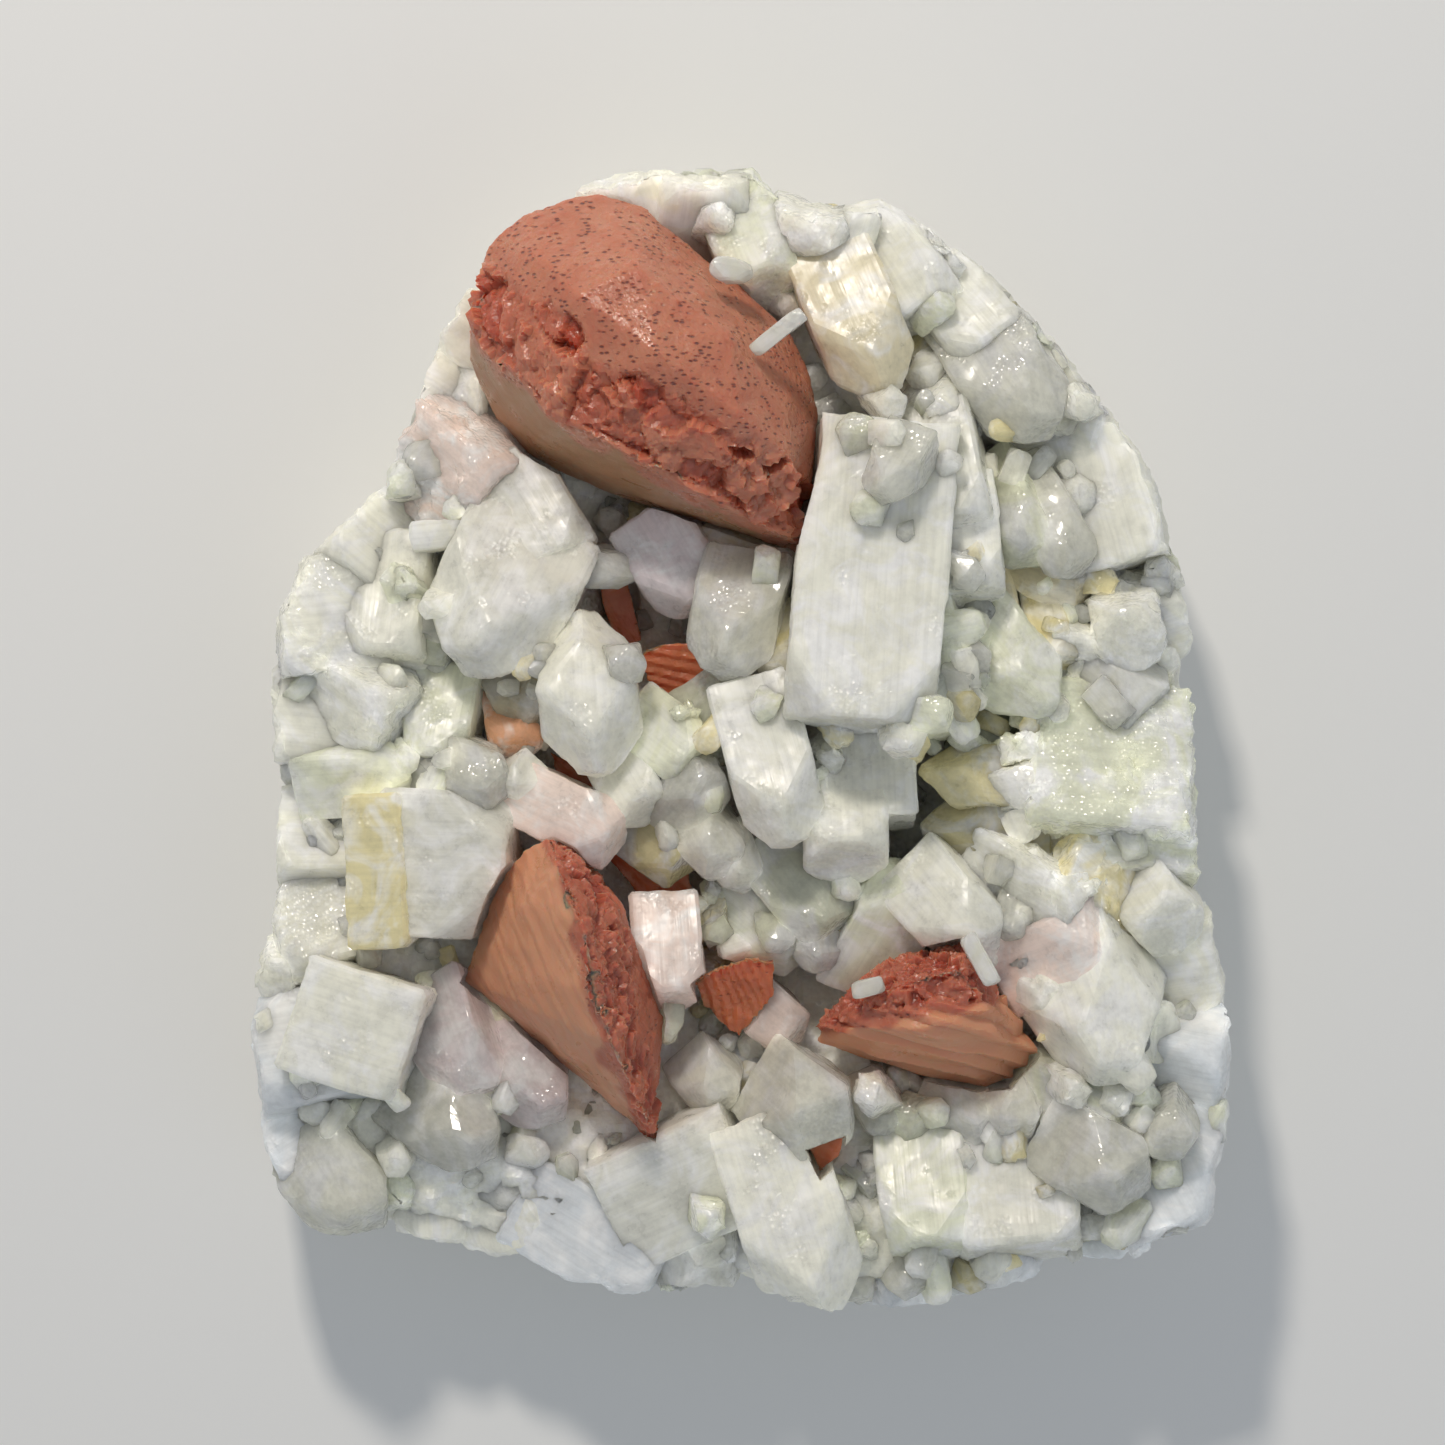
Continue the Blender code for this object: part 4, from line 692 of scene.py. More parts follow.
@dataclass(frozen=True)
class ApophylliteFinish:
    """Apophyllite as it grew: a soft mineral of glassy prism faces and pearly, pitted ends.

    Clear crystals pass part of the light. Frosted and milky ones hold fluid-filled veils,
    which scatter the light and soften every shadow.
    """

    name: str
    transmission: float
    roughness: float
    veil: float
    sparkle: float
    depth: float
    scatter_mm: float = 4.0
    ior: float = 1.535

    def material(self) -> bpy.types.Material:
        """Build the material."""
        made = bpy.data.materials.new(self.name)
        made.use_nodes = True
        tree = made.node_tree
        tree.nodes.clear()
        where = add_node(tree, "ShaderNodeTexCoord").outputs["Object"]
        tint = add_node(tree, "ShaderNodeAttribute", {"attribute_name": "tint"}).outputs["Color"]
        grain = add_node(tree, "ShaderNodeAttribute", {"attribute_name": "grain"}).outputs["Vector"]
        pearl = add_node(tree, "ShaderNodeAttribute", {"attribute_name": "pearl"}).outputs["Fac"]

        # Veils: wisps 5 mm long that whiten the body, and finer clouding of about 1 mm.
        veils = add_node(
            tree,
            "ShaderNodeTexNoise",
            {"Scale": per_mm(5.0), "Detail": 3.0, "Roughness": 0.62, "Distortion": 0.9},
            {"Vector": where},
        )
        veil = add_node(
            tree,
            "ShaderNodeMapRange",
            {"From Min": 0.44, "From Max": 0.64, "To Max": self.veil},
            {"Value": veils.outputs["Fac"]},
        )
        whitened = add_node(
            tree,
            "ShaderNodeMix",
            {"data_type": "RGBA", 7: srgb("#FCFCFA")},
            {0: veil.outputs["Result"], 6: tint},
        )
        clouds = add_node(
            tree,
            "ShaderNodeTexNoise",
            {"Scale": per_mm(2.3), "Detail": 4.0, "Roughness": 0.68},
            {"Vector": where},
        )
        shade = add_node(
            tree,
            "ShaderNodeMapRange",
            {"From Min": 0.34, "From Max": 0.58, "To Min": self.depth, "To Max": 1.0},
            {"Value": clouds.outputs["Fac"]},
        )
        body = add_node(
            tree,
            "ShaderNodeMix",
            {"data_type": "RGBA", "blend_type": "MULTIPLY", 0: 1.0},
            {6: whitened.outputs[2], 7: shade.outputs["Result"]},
        )

        # Growth lines 0.5 mm apart along the prism, and grains of 0.55 mm in sugary patches.
        stretched = add_node(
            tree,
            "ShaderNodeMapping",
            {"vector_type": "POINT", "Scale": (2.0, 2.0, 0.10)},
            {"Vector": grain},
        )
        lines = add_node(
            tree,
            "ShaderNodeTexNoise",
            {"Scale": 1.0, "Detail": 2.0, "Roughness": 0.5},
            {"Vector": stretched.outputs["Vector"]},
        )
        line_shade = add_node(
            tree,
            "ShaderNodeMapRange",
            {"From Min": 0.36, "From Max": 0.56, "To Min": 0.93, "To Max": 1.0},
            {"Value": lines.outputs["Fac"]},
        )
        lined = add_node(
            tree,
            "ShaderNodeMix",
            {"data_type": "RGBA", "blend_type": "MULTIPLY", 0: 1.0},
            {6: body.outputs[2], 7: line_shade.outputs["Result"]},
        )
        grains = add_node(
            tree,
            "ShaderNodeTexVoronoi",
            {"Scale": per_mm(0.55), "Randomness": 1.0},
            {"Vector": where},
        )
        patches = add_node(
            tree,
            "ShaderNodeTexNoise",
            {"Scale": per_mm(4.2), "Detail": 2.0},
            {"Vector": where},
        )
        sugary = add_node(
            tree,
            "ShaderNodeMapRange",
            {"From Min": 0.66 - 0.3 * self.sparkle, "From Max": 0.72 - 0.2 * self.sparkle},
            {"Value": patches.outputs["Fac"]},
        )
        coarse = add_node(
            tree,
            "ShaderNodeMath",
            {"operation": "MAXIMUM"},
            {0: sugary.outputs["Result"], 1: pearl},
        )
        line_bump = add_node(
            tree,
            "ShaderNodeBump",
            {"Strength": 0.3, "Distance": 0.12 * MM},
            {"Height": lines.outputs["Fac"]},
        )
        grain_bump = add_node(
            tree,
            "ShaderNodeBump",
            {"Distance": 0.2 * MM},
            {
                "Strength": coarse.outputs["Value"],
                "Height": grains.outputs["Distance"],
                "Normal": line_bump.outputs["Normal"],
            },
        )
        rough = add_node(
            tree,
            "ShaderNodeMapRange",
            {
                "From Min": 0.3,
                "From Max": 0.7,
                "To Min": self.roughness * 0.75,
                "To Max": self.roughness * 1.5,
            },
            {"Value": clouds.outputs["Fac"]},
        )
        shader = add_node(
            tree,
            "ShaderNodeBsdfPrincipled",
            {
                "subsurface_method": "BURLEY",
                "IOR": self.ior,
                "Transmission Weight": self.transmission,
                "Subsurface Weight": 1.0,
                "Subsurface Radius": (1.0, 0.97, 0.88),
                "Subsurface Scale": self.scatter_mm * MM,
            },
            {
                "Base Color": lined.outputs[2],
                "Roughness": rough.outputs["Result"],
                "Normal": grain_bump.outputs["Normal"],
            },
        )
        add_node(tree, "ShaderNodeOutputMaterial", {}, {"Surface": shader.outputs["BSDF"]})
        return made


HABIT_FINISHES = {
    CLEAR: ApophylliteFinish("clear_grown_apophyllite", 0.28, 0.15, 0.8, 0.5, 0.80),
    FROSTED: ApophylliteFinish("frosted_grown_apophyllite", 0.0, 0.3, 0.75, 0.4, 0.84),
    MILKY: ApophylliteFinish("milky_grown_apophyllite", 0.0, 0.34, 0.9, 0.25, 0.88),
    SUGARY: ApophylliteFinish("sugary_grown_apophyllite", 0.0, 0.18, 0.95, 1.0, 0.86),
}
SLIVER_FINISH = ApophylliteFinish("clear_apophyllite_sliver", 0.28, 0.16, 0.9, 0.3, 0.92, 1.5)


@dataclass
class Apophyllite:
    """The apophyllite crystals and the crystal mass that they grow from."""

    rim: Rim
    edge_mm: float = 0.85
    ring_steps: int = 4
    mass_voxel_mm: float = 0.75
    small_count: int = 240
    small_sizes: tuple[float, float] = (1.8, 4.2)

    def build(self, rooms: list[bpy.types.Object]) -> None:
        """Build the crystals by habit, the mass under them and the slivers.

        Args:
            rooms: The room that each heulandite needs.
        """
        rng = random.Random(17)
        rim = self.rim.solid()
        groups: dict[Habit, list[bpy.types.Object]] = {habit: [] for habit in Habit}
        for prism in PRISMS:
            crystal = prism.build(rng)
            self.carve(crystal, rooms, rim)
            prism.mark(crystal, rng)
            groups[prism.habit].append(crystal)
        mass = self.build_mass(rooms)
        for prism in self.scatter([mass, *itertools.chain(*groups.values())], rooms, rng):
            crystal = prism.build(rng)
            self.carve(crystal, rooms, rim)
            if crystal.data.vertices:
                prism.mark(crystal, rng)
                groups[prism.habit].append(crystal)
        for habit, crystals in groups.items():
            group = join(f"{habit.value}_crystals", crystals)
            self.weather(group, habit)
            self.finish(group, HABIT_FINISHES[habit])
            publish(group, "apophyllite", PLATE_NODE)
        self.finish(mass, HABIT_FINISHES[MILKY])
        publish(mass, "apophyllite", PLATE_NODE)
        for node, (habit, place, size, aim, tip) in SLIVERS.items():
            prism = Prism(f"clear_{node}", habit, WHITE, place, size, aim, tip, True)
            sliver = prism.build(rng)
            prism.mark(sliver, rng)
            self.weather(sliver, habit, 0.5)
            self.finish(sliver, SLIVER_FINISH)
            publish(sliver, "clear_apophyllite", node)
        bpy.data.objects.remove(rim)

    def carve(
        self, piece: bpy.types.Object, rooms: list[bpy.types.Object], rim: bpy.types.Object | None = None
    ) -> None:
        """Cut the heulandites' room out of a piece, and what passes the broken face off it.

        Args:
            piece: A crystal, or the mass.
            rooms: The bodies to cut with.
            rim: The body inside the broken face.
        """
        points = read_points(piece)
        if rim and self.rim.meets(points):
            apply_modifier(piece, "BOOLEAN", operation="INTERSECT", solver="EXACT", object=rim)
        low, high = points.min(axis=0), points.max(axis=0)
        for room in rooms:
            taken = read_points(room)
            if (taken.min(axis=0) < high).all() and (taken.max(axis=0) > low).all():
                apply_modifier(piece, "BOOLEAN", operation="DIFFERENCE", solver="EXACT", object=room)

    def scatter(
        self, pieces: list[bpy.types.Object], rooms: list[bpy.types.Object], rng: random.Random
    ) -> Iterator[Prism]:
        """Choose small crystals that fill the gaps between the large ones.

        Args:
            pieces: What the small crystals grow on.
            rooms: The heulandites' room, which stays free.
            rng: The source of the places.

        Yields:
            The small crystals.
        """
        grown, taken = body_tree(pieces), body_tree(rooms)
        down = Vector((0, 0, -1))
        made = 0
        while made < self.small_count:
            x, y = rng.uniform(-50, 50), rng.uniform(-58, 58)
            start = Vector((x, y, 80)) * MM
            hit, normal, _, _ = grown.ray_cast(start, down)
            if hit is None or taken.ray_cast(start, down)[0] is not None:
                continue
            around = [
                grown.ray_cast(start + Vector((dx, dy, 0)) * 3.5 * MM, down)[0]
                for dx, dy in ((1, 0), (-1, 0), (0, 1), (0, -1))
            ]
            above = sum(max(0.0, (other.z - hit.z) / MM) for other in around if other is not None)
            if above < 2.5 or rng.random() > above / 12:
                continue
            made += 1
            width = rng.uniform(*self.small_sizes) * (0.8 if above > 6 else 1.0)
            size = (width, width * rng.uniform(0.7, 1.0), width * rng.uniform(1.0, 1.9))
            lean = Vector((x, y - 10, 0)).normalized() * 0.45 + Vector((0, -0.35, 0)) + normal
            aim = lean + Vector([rng.uniform(-0.8, 0.8) for _ in range(3)])
            bearing = math.degrees(math.atan2(aim.y, aim.x))
            rise = math.degrees(math.atan2(max(aim.z, 0.1), math.hypot(aim.x, aim.y)))
            habit = rng.choice((CLEAR, FROSTED, FROSTED, SUGARY))
            tint = rng.choice((WHITE, WHITE, WHITE, GREEN, GREEN, HONEY, GREY))
            place = (x, y, hit.z / MM + rng.uniform(-0.25, 0.15) * width)
            yield Prism(f"small_{made}", habit, tint, place, size, (bearing, rise, rng.uniform(0, 90)), 0.5)

    def weather(self, group: bpy.types.Object, habit: Habit, scale: float = 1.0) -> None:
        """Divide the faces and give them growth steps, swells, flakes and pits.

        Args:
            group: Crystals of one habit, with their own coordinates on their mesh.
            habit: How clear they grew.
            scale: How strong the relief is.
        """
        refine(group, self.edge_mm)
        points, normals = read_points(group), read_normals(group)
        grain, axis = read_store(group, "grain"), read_store(group, "axis")
        end = np.clip(np.abs(np.einsum("ij,ij->i", normals, axis)) * 3 - 2, 0, 1)
        ledge = hashed(np.floor(grain / np.array([2.1, 2.1, 5.5])), 5)[:, 0]
        ledge += 0.6 * hashed(np.floor(grain / np.array([0.9, 0.9, 3.0]) + 7.3), 6)[:, 0]
        steps = (ledge - 0.9) * 0.16 * (1 - 0.6 * end)
        swell = smooth_noise(grain, 4.0, 1) * 0.2 + smooth_noise(grain, 1.7, 2) * 0.08
        flakes, level = cell_facets(grain, 1.15, 3)
        amount = {CLEAR: 0.05, FROSTED: 0.07, MILKY: 0.08, SUGARY: 0.38}[habit]
        patch = np.clip(smooth_noise(grain, 3.0, 4) * 2.0 + 0.1, 0, 1)
        rough = (flakes + 0.35 * level) * (amount * (0.3 + patch) + 0.12 * end)
        moved = points + normals * (scale * (steps + swell + rough))[:, None]
        write_points(group, self.rim.roughen(moved) if scale == 1.0 else moved)
        store(group, "pearl", np.maximum(end, patch * (habit is SUGARY)))

    def finish(self, piece: bpy.types.Object, material: ApophylliteFinish) -> None:
        """Shade a piece smooth between its edges and give it a finish."""
        select_only([piece])
        bpy.ops.object.shade_smooth_by_angle(angle=math.radians(22))
        piece.data.materials.clear()
        piece.data.materials.append(bpy.data.materials.get(material.name) or material.material())

    def build_mass(self, rooms: list[bpy.types.Object]) -> bpy.types.Object:
        """Model the mass by extruding the silhouette up the rim and down into the pocket.

        Args:
            rooms: The room that each heulandite needs.

        Returns:
            The mass.
        """
        outline = np.array(SILHOUETTE)
        closed = np.vstack([outline, outline[:1]])
        steps = np.linspace(0, 1, self.ring_steps, endpoint=False)[:, None]
        ring = np.vstack([a + (b - a) * steps for a, b in zip(closed, closed[1:])])
        mass = loft("grown_mass", ring, PLATE_RINGS)
        self.carve(mass, rooms)
        apply_modifier(mass, "REMESH", mode="VOXEL", voxel_size=self.mass_voxel_mm * MM)
        points, normals = read_points(mass), read_normals(mass)
        above = np.clip(points[:, 2] / 2.0 - 0.2, 0, 1)
        flakes, level = cell_facets(points, 4.5, 31)
        fine, fine_level = cell_facets(points, 1.9, 32)
        rough = -0.9 * np.abs(flakes) + 0.4 * level + 0.5 * fine + 0.2 * fine_level - 0.5
        points += normals * (rough * above)[:, None]
        points[:, 2] = np.maximum(points[:, 2], 0.0)
        write_points(mass, self.rim.roughen(points))
        store(mass, "grain", points)
        store(mass, "pearl", 0.4 * above)
        store(mass, "tint", np.tile(srgb(WHITE.value), (len(points), 1)))
        return mass


def read_store(piece: bpy.types.Object, name: str) -> np.ndarray:
    """The vectors that a mesh keeps under a name, one row each."""
    rows = np.empty(len(piece.data.vertices) * 3)
    piece.data.attributes[name].data.foreach_get("vector", rows)
    return rows.reshape(-1, 3)


def body_tree(pieces: list[bpy.types.Object]) -> BVHTree:
    """Gather some objects' faces for casting rays at them.

    Args:
        pieces: The objects, all at the origin.

    Returns:
        The tree.
    """
    points: list[Vector] = []
    faces: list[list[int]] = []
    for piece in pieces:
        first = len(points)
        points += [vert.co.copy() for vert in piece.data.vertices]
        faces += [[first + i for i in face.vertices] for face in piece.data.polygons]
    return BVHTree.FromPolygons(points, faces)


@dataclass(frozen=True)
class HeulanditeFinish:
    """Heulandite coloured by iron: coral to russet, pearly, with a scattering body and a glassy skin.

    Small pits with bright rims dot the broad face, each painted dark as the shade inside it, and the broken
    shoulder is a deeper red, with painted shade on its lower blocks.
    """

    name: str
    face: str
    deep: str
    side: str
    pits: float
    pit_mm: float = 0.9
    scatter_mm: float = 1.6

    def material(self) -> bpy.types.Material:
        """Build the material."""
        made = bpy.data.materials.new(self.name)
        made.use_nodes = True
        tree = made.node_tree
        tree.nodes.clear()
        where = add_node(tree, "ShaderNodeTexCoord").outputs["Object"]
        grain = add_node(tree, "ShaderNodeAttribute", {"attribute_name": "grain"}).outputs["Vector"]
        zone = add_node(tree, "ShaderNodeAttribute", {"attribute_name": "zone"}).outputs["Color"]
        zones = add_node(tree, "ShaderNodeSeparateColor", {}, {"Color": zone})
        band_with_crevice_shade, side, open_face = (zones.outputs[name] for name in ("Red", "Green", "Blue"))

        clouds = add_node(
            tree,
            "ShaderNodeTexNoise",
            {"Scale": per_mm(3.6), "Detail": 5.0, "Roughness": 0.6, "Distortion": 0.4},
            {"Vector": where},
        )
        deepened = add_node(
            tree,
            "ShaderNodeMapRange",
            {"From Min": 0.35, "From Max": 0.75, "To Max": 0.55},
            {"Value": clouds.outputs["Fac"]},
        )
        # Deep red where the clouds are dark, and over the blocky band, most on its lower blocks: the band's part
        # is painted shade in the crevices, the clouds' part is the crystal's own tone.
        deep_red_and_crevice_shade = add_node(
            tree, "ShaderNodeMath", {"operation": "MAXIMUM"}, {0: deepened.outputs["Result"], 1: band_with_crevice_shade}
        )
        reds = add_node(
            tree,
            "ShaderNodeMix",
            {"data_type": "RGBA", 6: srgb(self.face), 7: srgb(self.deep)},
            {0: deep_red_and_crevice_shade.outputs["Value"]},
        )
        sided = add_node(
            tree,
            "ShaderNodeMix",
            {"data_type": "RGBA", 7: srgb(self.side)},
            {0: side, 6: reds.outputs[2]},
        )

        # Pits: 0.9 mm apart, longer than wide, and only on parts of the open face. They are bumped down, and
        # painted dark purple as painted shade inside them.
        turned = add_node(
            tree,
            "ShaderNodeMapping",
            {"Rotation": (0, 0, math.radians(-35)), "Scale": (1.0, 1.9, 1.0)},
            {"Vector": where},
        )
        cells = add_node(
            tree,
            "ShaderNodeTexVoronoi",
            {"Scale": per_mm(self.pit_mm), "Randomness": 1.0},
            {"Vector": turned.outputs["Vector"]},
        )
        pit = add_node(
            tree,
            "ShaderNodeMapRange",
            {"From Min": 0.16, "From Max": 0.34, "To Min": 1.0, "To Max": 0.0},
            {"Value": cells.outputs["Distance"]},
        )
        patches = add_node(
            tree,
            "ShaderNodeTexNoise",
            {"Scale": per_mm(2.6), "Detail": 3.0},
            {"Vector": where},
        )
        patch = add_node(
            tree,
            "ShaderNodeMapRange",
            {"From Min": 0.62 - 0.24 * self.pits, "From Max": 0.70 - 0.2 * self.pits},
            {"Value": patches.outputs["Fac"]},
        )
        here = add_node(
            tree, "ShaderNodeMath", {"operation": "MULTIPLY"}, {0: patch.outputs["Result"], 1: open_face}
        )
        pit_depth_and_shade = add_node(
            tree, "ShaderNodeMath", {"operation": "MULTIPLY"}, {0: pit.outputs["Result"], 1: here.outputs["Value"]}
        )
        pit_shade_share = add_node(
            tree, "ShaderNodeMath", {"operation": "MULTIPLY", 1: 0.75}, {0: pit_depth_and_shade.outputs["Value"]}
        )
        # Dark purple in the pits: painted shade inside them.
        body = add_node(
            tree,
            "ShaderNodeMix",
            {"data_type": "RGBA", 7: srgb("#5E3A40")},
            {0: pit_shade_share.outputs["Value"], 6: sided.outputs[2]},
        )

        # Growth lines 0.35 mm apart along the crystal, and a fine glassy skin of 0.25 mm grains.
        stretched = add_node(
            tree, "ShaderNodeMapping", {"Scale": (2.9, 0.10, 2.9)}, {"Vector": grain}
        )
        lines = add_node(
            tree,
            "ShaderNodeTexNoise",
            {"Scale": 1.0, "Detail": 3.0, "Roughness": 0.55},
            {"Vector": stretched.outputs["Vector"]},
        )
        line_bump = add_node(
            tree,
            "ShaderNodeBump",
            {"Strength": 0.5, "Distance": 0.14 * MM},
            {"Height": lines.outputs["Fac"]},
        )
        skin = add_node(
            tree,
            "ShaderNodeTexVoronoi",
            {"Scale": per_mm(0.42), "Randomness": 1.0},
            {"Vector": where},
        )
        skin_strength = add_node(
            tree,
            "ShaderNodeMapRange",
            {"From Min": 0.0, "From Max": 1.0, "To Min": 0.32, "To Max": 0.06},
            {"Value": side},
        )
        skin_bump = add_node(
            tree,
            "ShaderNodeBump",
            {"Distance": 0.16 * MM},
            {
                "Strength": skin_strength.outputs["Result"],
                "Height": skin.outputs["Distance"],
                "Normal": line_bump.outputs["Normal"],
            },
        )
        pit_bump = add_node(
            tree,
            "ShaderNodeBump",
            {"Strength": 0.9, "Distance": 0.3 * MM, "invert": True},
            {"Height": pit_depth_and_shade.outputs["Value"], "Normal": skin_bump.outputs["Normal"]},
        )
        rough = add_node(
            tree,
            "ShaderNodeMapRange",
            {"From Min": 0.3, "From Max": 0.7, "To Min": 0.2, "To Max": 0.46},
            {"Value": clouds.outputs["Fac"]},
        )
        shader = add_node(
            tree,
            "ShaderNodeBsdfPrincipled",
            {
                "subsurface_method": "RANDOM_WALK",
                "IOR": 1.5,
                "Subsurface Weight": 1.0,
                "Subsurface Radius": (1.0, 0.36, 0.22),
                "Subsurface Scale": self.scatter_mm * MM,
            },
            {
                "Base Color": body.outputs[2],
                "Roughness": rough.outputs["Result"],
                "Normal": pit_bump.outputs["Normal"],
            },
        )
        add_node(tree, "ShaderNodeOutputMaterial", {}, {"Surface": shader.outputs["BSDF"]})
        return made


CORAL = HeulanditeFinish("pearly_coral_heulandite", "#D08E72", "#B4563F", "#B98A66", 1.0)
RUSSET = HeulanditeFinish("pearly_russet_heulandite", "#CC7F64", "#A5503F", "#E0A27E", 0.4)
SALMON = HeulanditeFinish("pearly_orange_heulandite", "#D98259", "#B5533C", "#D98A5F", 0.2)


def beside(points: np.ndarray, line: list[tuple[float, float]]) -> np.ndarray:
    """Measure how far points lie to the left of a line of several stretches, seen from the front.

    Args:
        points: Places in millimetres.
        line: The line's corners.

    Returns:
        A signed distance for each point, positive on the left of the line's direction.
    """
    nearest = np.full(len(points), np.inf)
    signed = np.zeros(len(points))
    flat = points[:, :2]
    for start, end in zip(np.array(line), np.array(line)[1:]):
        along = end - start
        share = np.clip((flat - start) @ along / (along @ along), 0, 1)
        away = flat - start - share[:, None] * along
        distance = np.hypot(away[:, 0], away[:, 1])
        turn = along[0] * (flat[:, 1] - start[1]) - along[1] * (flat[:, 0] - start[0])
        closer = distance < nearest
        nearest[closer] = distance[closer]
        signed[closer] = (np.sign(turn) * distance)[closer]
    return signed


@dataclass
class Heulandite:
    """One heulandite crystal: a convex body with a rough, blocky band beside a ridge line.

    The ridge runs so that the open face lies on its left. Grain turns the growth lines.
    """

    node: str
    slot: str
    finish: HeulanditeFinish
    corners: list[tuple[float, float, float]]
    ridge: list[tuple[float, float]] = field(default_factory=list)
    band: tuple[float, float] = (0.0, 0.0)
    blocks_mm: float = 2.6
    block_height: float = 1.0
    grain_bearing: float = 0.0
    rib_mm: float = 0.0
    rib_height: float = 0.0
    voxel_mm: float = 0.35
    rounding: int = 8
    clearance: float = 7.0

    def room(self) -> bpy.types.Object:
        """Make the body that cuts the crystal's room, open above it by a clearance."""
        raised = [(x, y, z + self.clearance) for x, y, z in self.corners]
        body = add_hull(f"{self.node}_room", self.corners + raised)
        body.hide_render = True
        return body

    def build(self) -> bpy.types.Object:
        """Model the crystal and dress it.

        Returns:
            The crystal.
        """
        body = add_hull(f"grown_{self.node}", self.corners)
        apply_modifier(body, "REMESH", mode="VOXEL", voxel_size=self.voxel_mm * MM, adaptivity=0.0)
        apply_modifier(body, "SMOOTH", factor=0.5, iterations=self.rounding)
        self.weather(body)
        select_only([body])
        bpy.ops.object.shade_smooth_by_angle(angle=math.radians(30))
        body.data.materials.clear()
        body.data.materials.append(
            bpy.data.materials.get(self.finish.name) or self.finish.material()
        )
        publish(body, self.slot, self.node)
        return body

    def weather(self, body: bpy.types.Object) -> None:
        """Raise the blocky band and the ribs, swell the faces, and store the zones, with painted shade in the
        band's crevices.

        Args:
            body: The crystal in its place.
        """
        points, normals = read_points(body), read_normals(body)
        turn = math.radians(self.grain_bearing)
        across = points[:, 0] * -math.sin(turn) + points[:, 1] * math.cos(turn)
        along = points[:, 0] * math.cos(turn) + points[:, 1] * math.sin(turn)
        grain = np.column_stack([across, along, points[:, 2]])
        blocky = np.zeros(len(points))
        side = np.zeros(len(points))
        if self.ridge:
            away = beside(points, self.ridge) + 1.2 * smooth_noise(points, 2.4, 41)
            low, high = self.band
            blocky = np.clip(np.minimum(away - low, high - away) / 0.8, 0, 1)
            side = np.clip((low - 0.4 - away) / 0.6, 0, 1)
        cells, level = cell_facets(grain * np.array([1.0, 0.62, 1.0]), self.blocks_mm, 51)
        small, small_level = cell_facets(grain * np.array([1.0, 0.62, 1.0]), self.blocks_mm * 0.45, 52)
        blocks = self.block_height * (0.75 * level + 0.55 * cells + 0.25 * small_level + 0.3 * small)
        ribs = np.zeros(len(points))
        if self.rib_height:
            wobble = across / self.rib_mm + 0.6 * smooth_noise(grain * np.array([1, 0.15, 1]), 2.0, 53)
            ribs = self.rib_height * (np.abs((wobble % 1.0) * 2 - 1) - 0.5)
        swell = 0.18 * smooth_noise(points, 3.5, 54) + 0.07 * smooth_noise(points, 1.2, 55)
        skin, _ = cell_facets(points, 0.8, 56)
        rough = (0.10 + 0.15 * blocky) * skin * (1 - side)
        inward = 0.35
        shift = blocky * (blocks - 0.2) + (1 - blocky) * ribs + swell + rough - inward
        write_points(body, points + normals * shift[:, None])
        store(body, "grain", grain)
        # The blocky band takes the deeper red, more on its lower blocks: painted shade in the crevices between the
        # blocks.
        deep = np.clip(blocky * (0.55 - 0.5 * level), 0, 1)
        face = (1 - blocky) * (1 - side) * np.clip(normals[:, 2] * 2, 0, 1)
        store(body, "zone", np.column_stack([deep, side, face, np.ones(len(points))]))


LARGE_RIDGE = [
    (-28.5, 42.0), (-26.0, 39.6), (-22.2, 36.0), (-18.9, 32.2), (-14.8, 29.9), (-9.7, 27.1), (-4.6, 24.3),
    (0.5, 21.7), (6.5, 18.8),
]
WEDGE_RIDGE = [(-10.2, -40.5), (-12.6, -32.6), (-15.2, -22.2), (-17.6, -13.0), (-19.6, -8.8)]
LOWER_RIDGE = [(7.0, -28.6), (12.0, -27.6), (18.0, -26.4), (25.6, -25.4)]

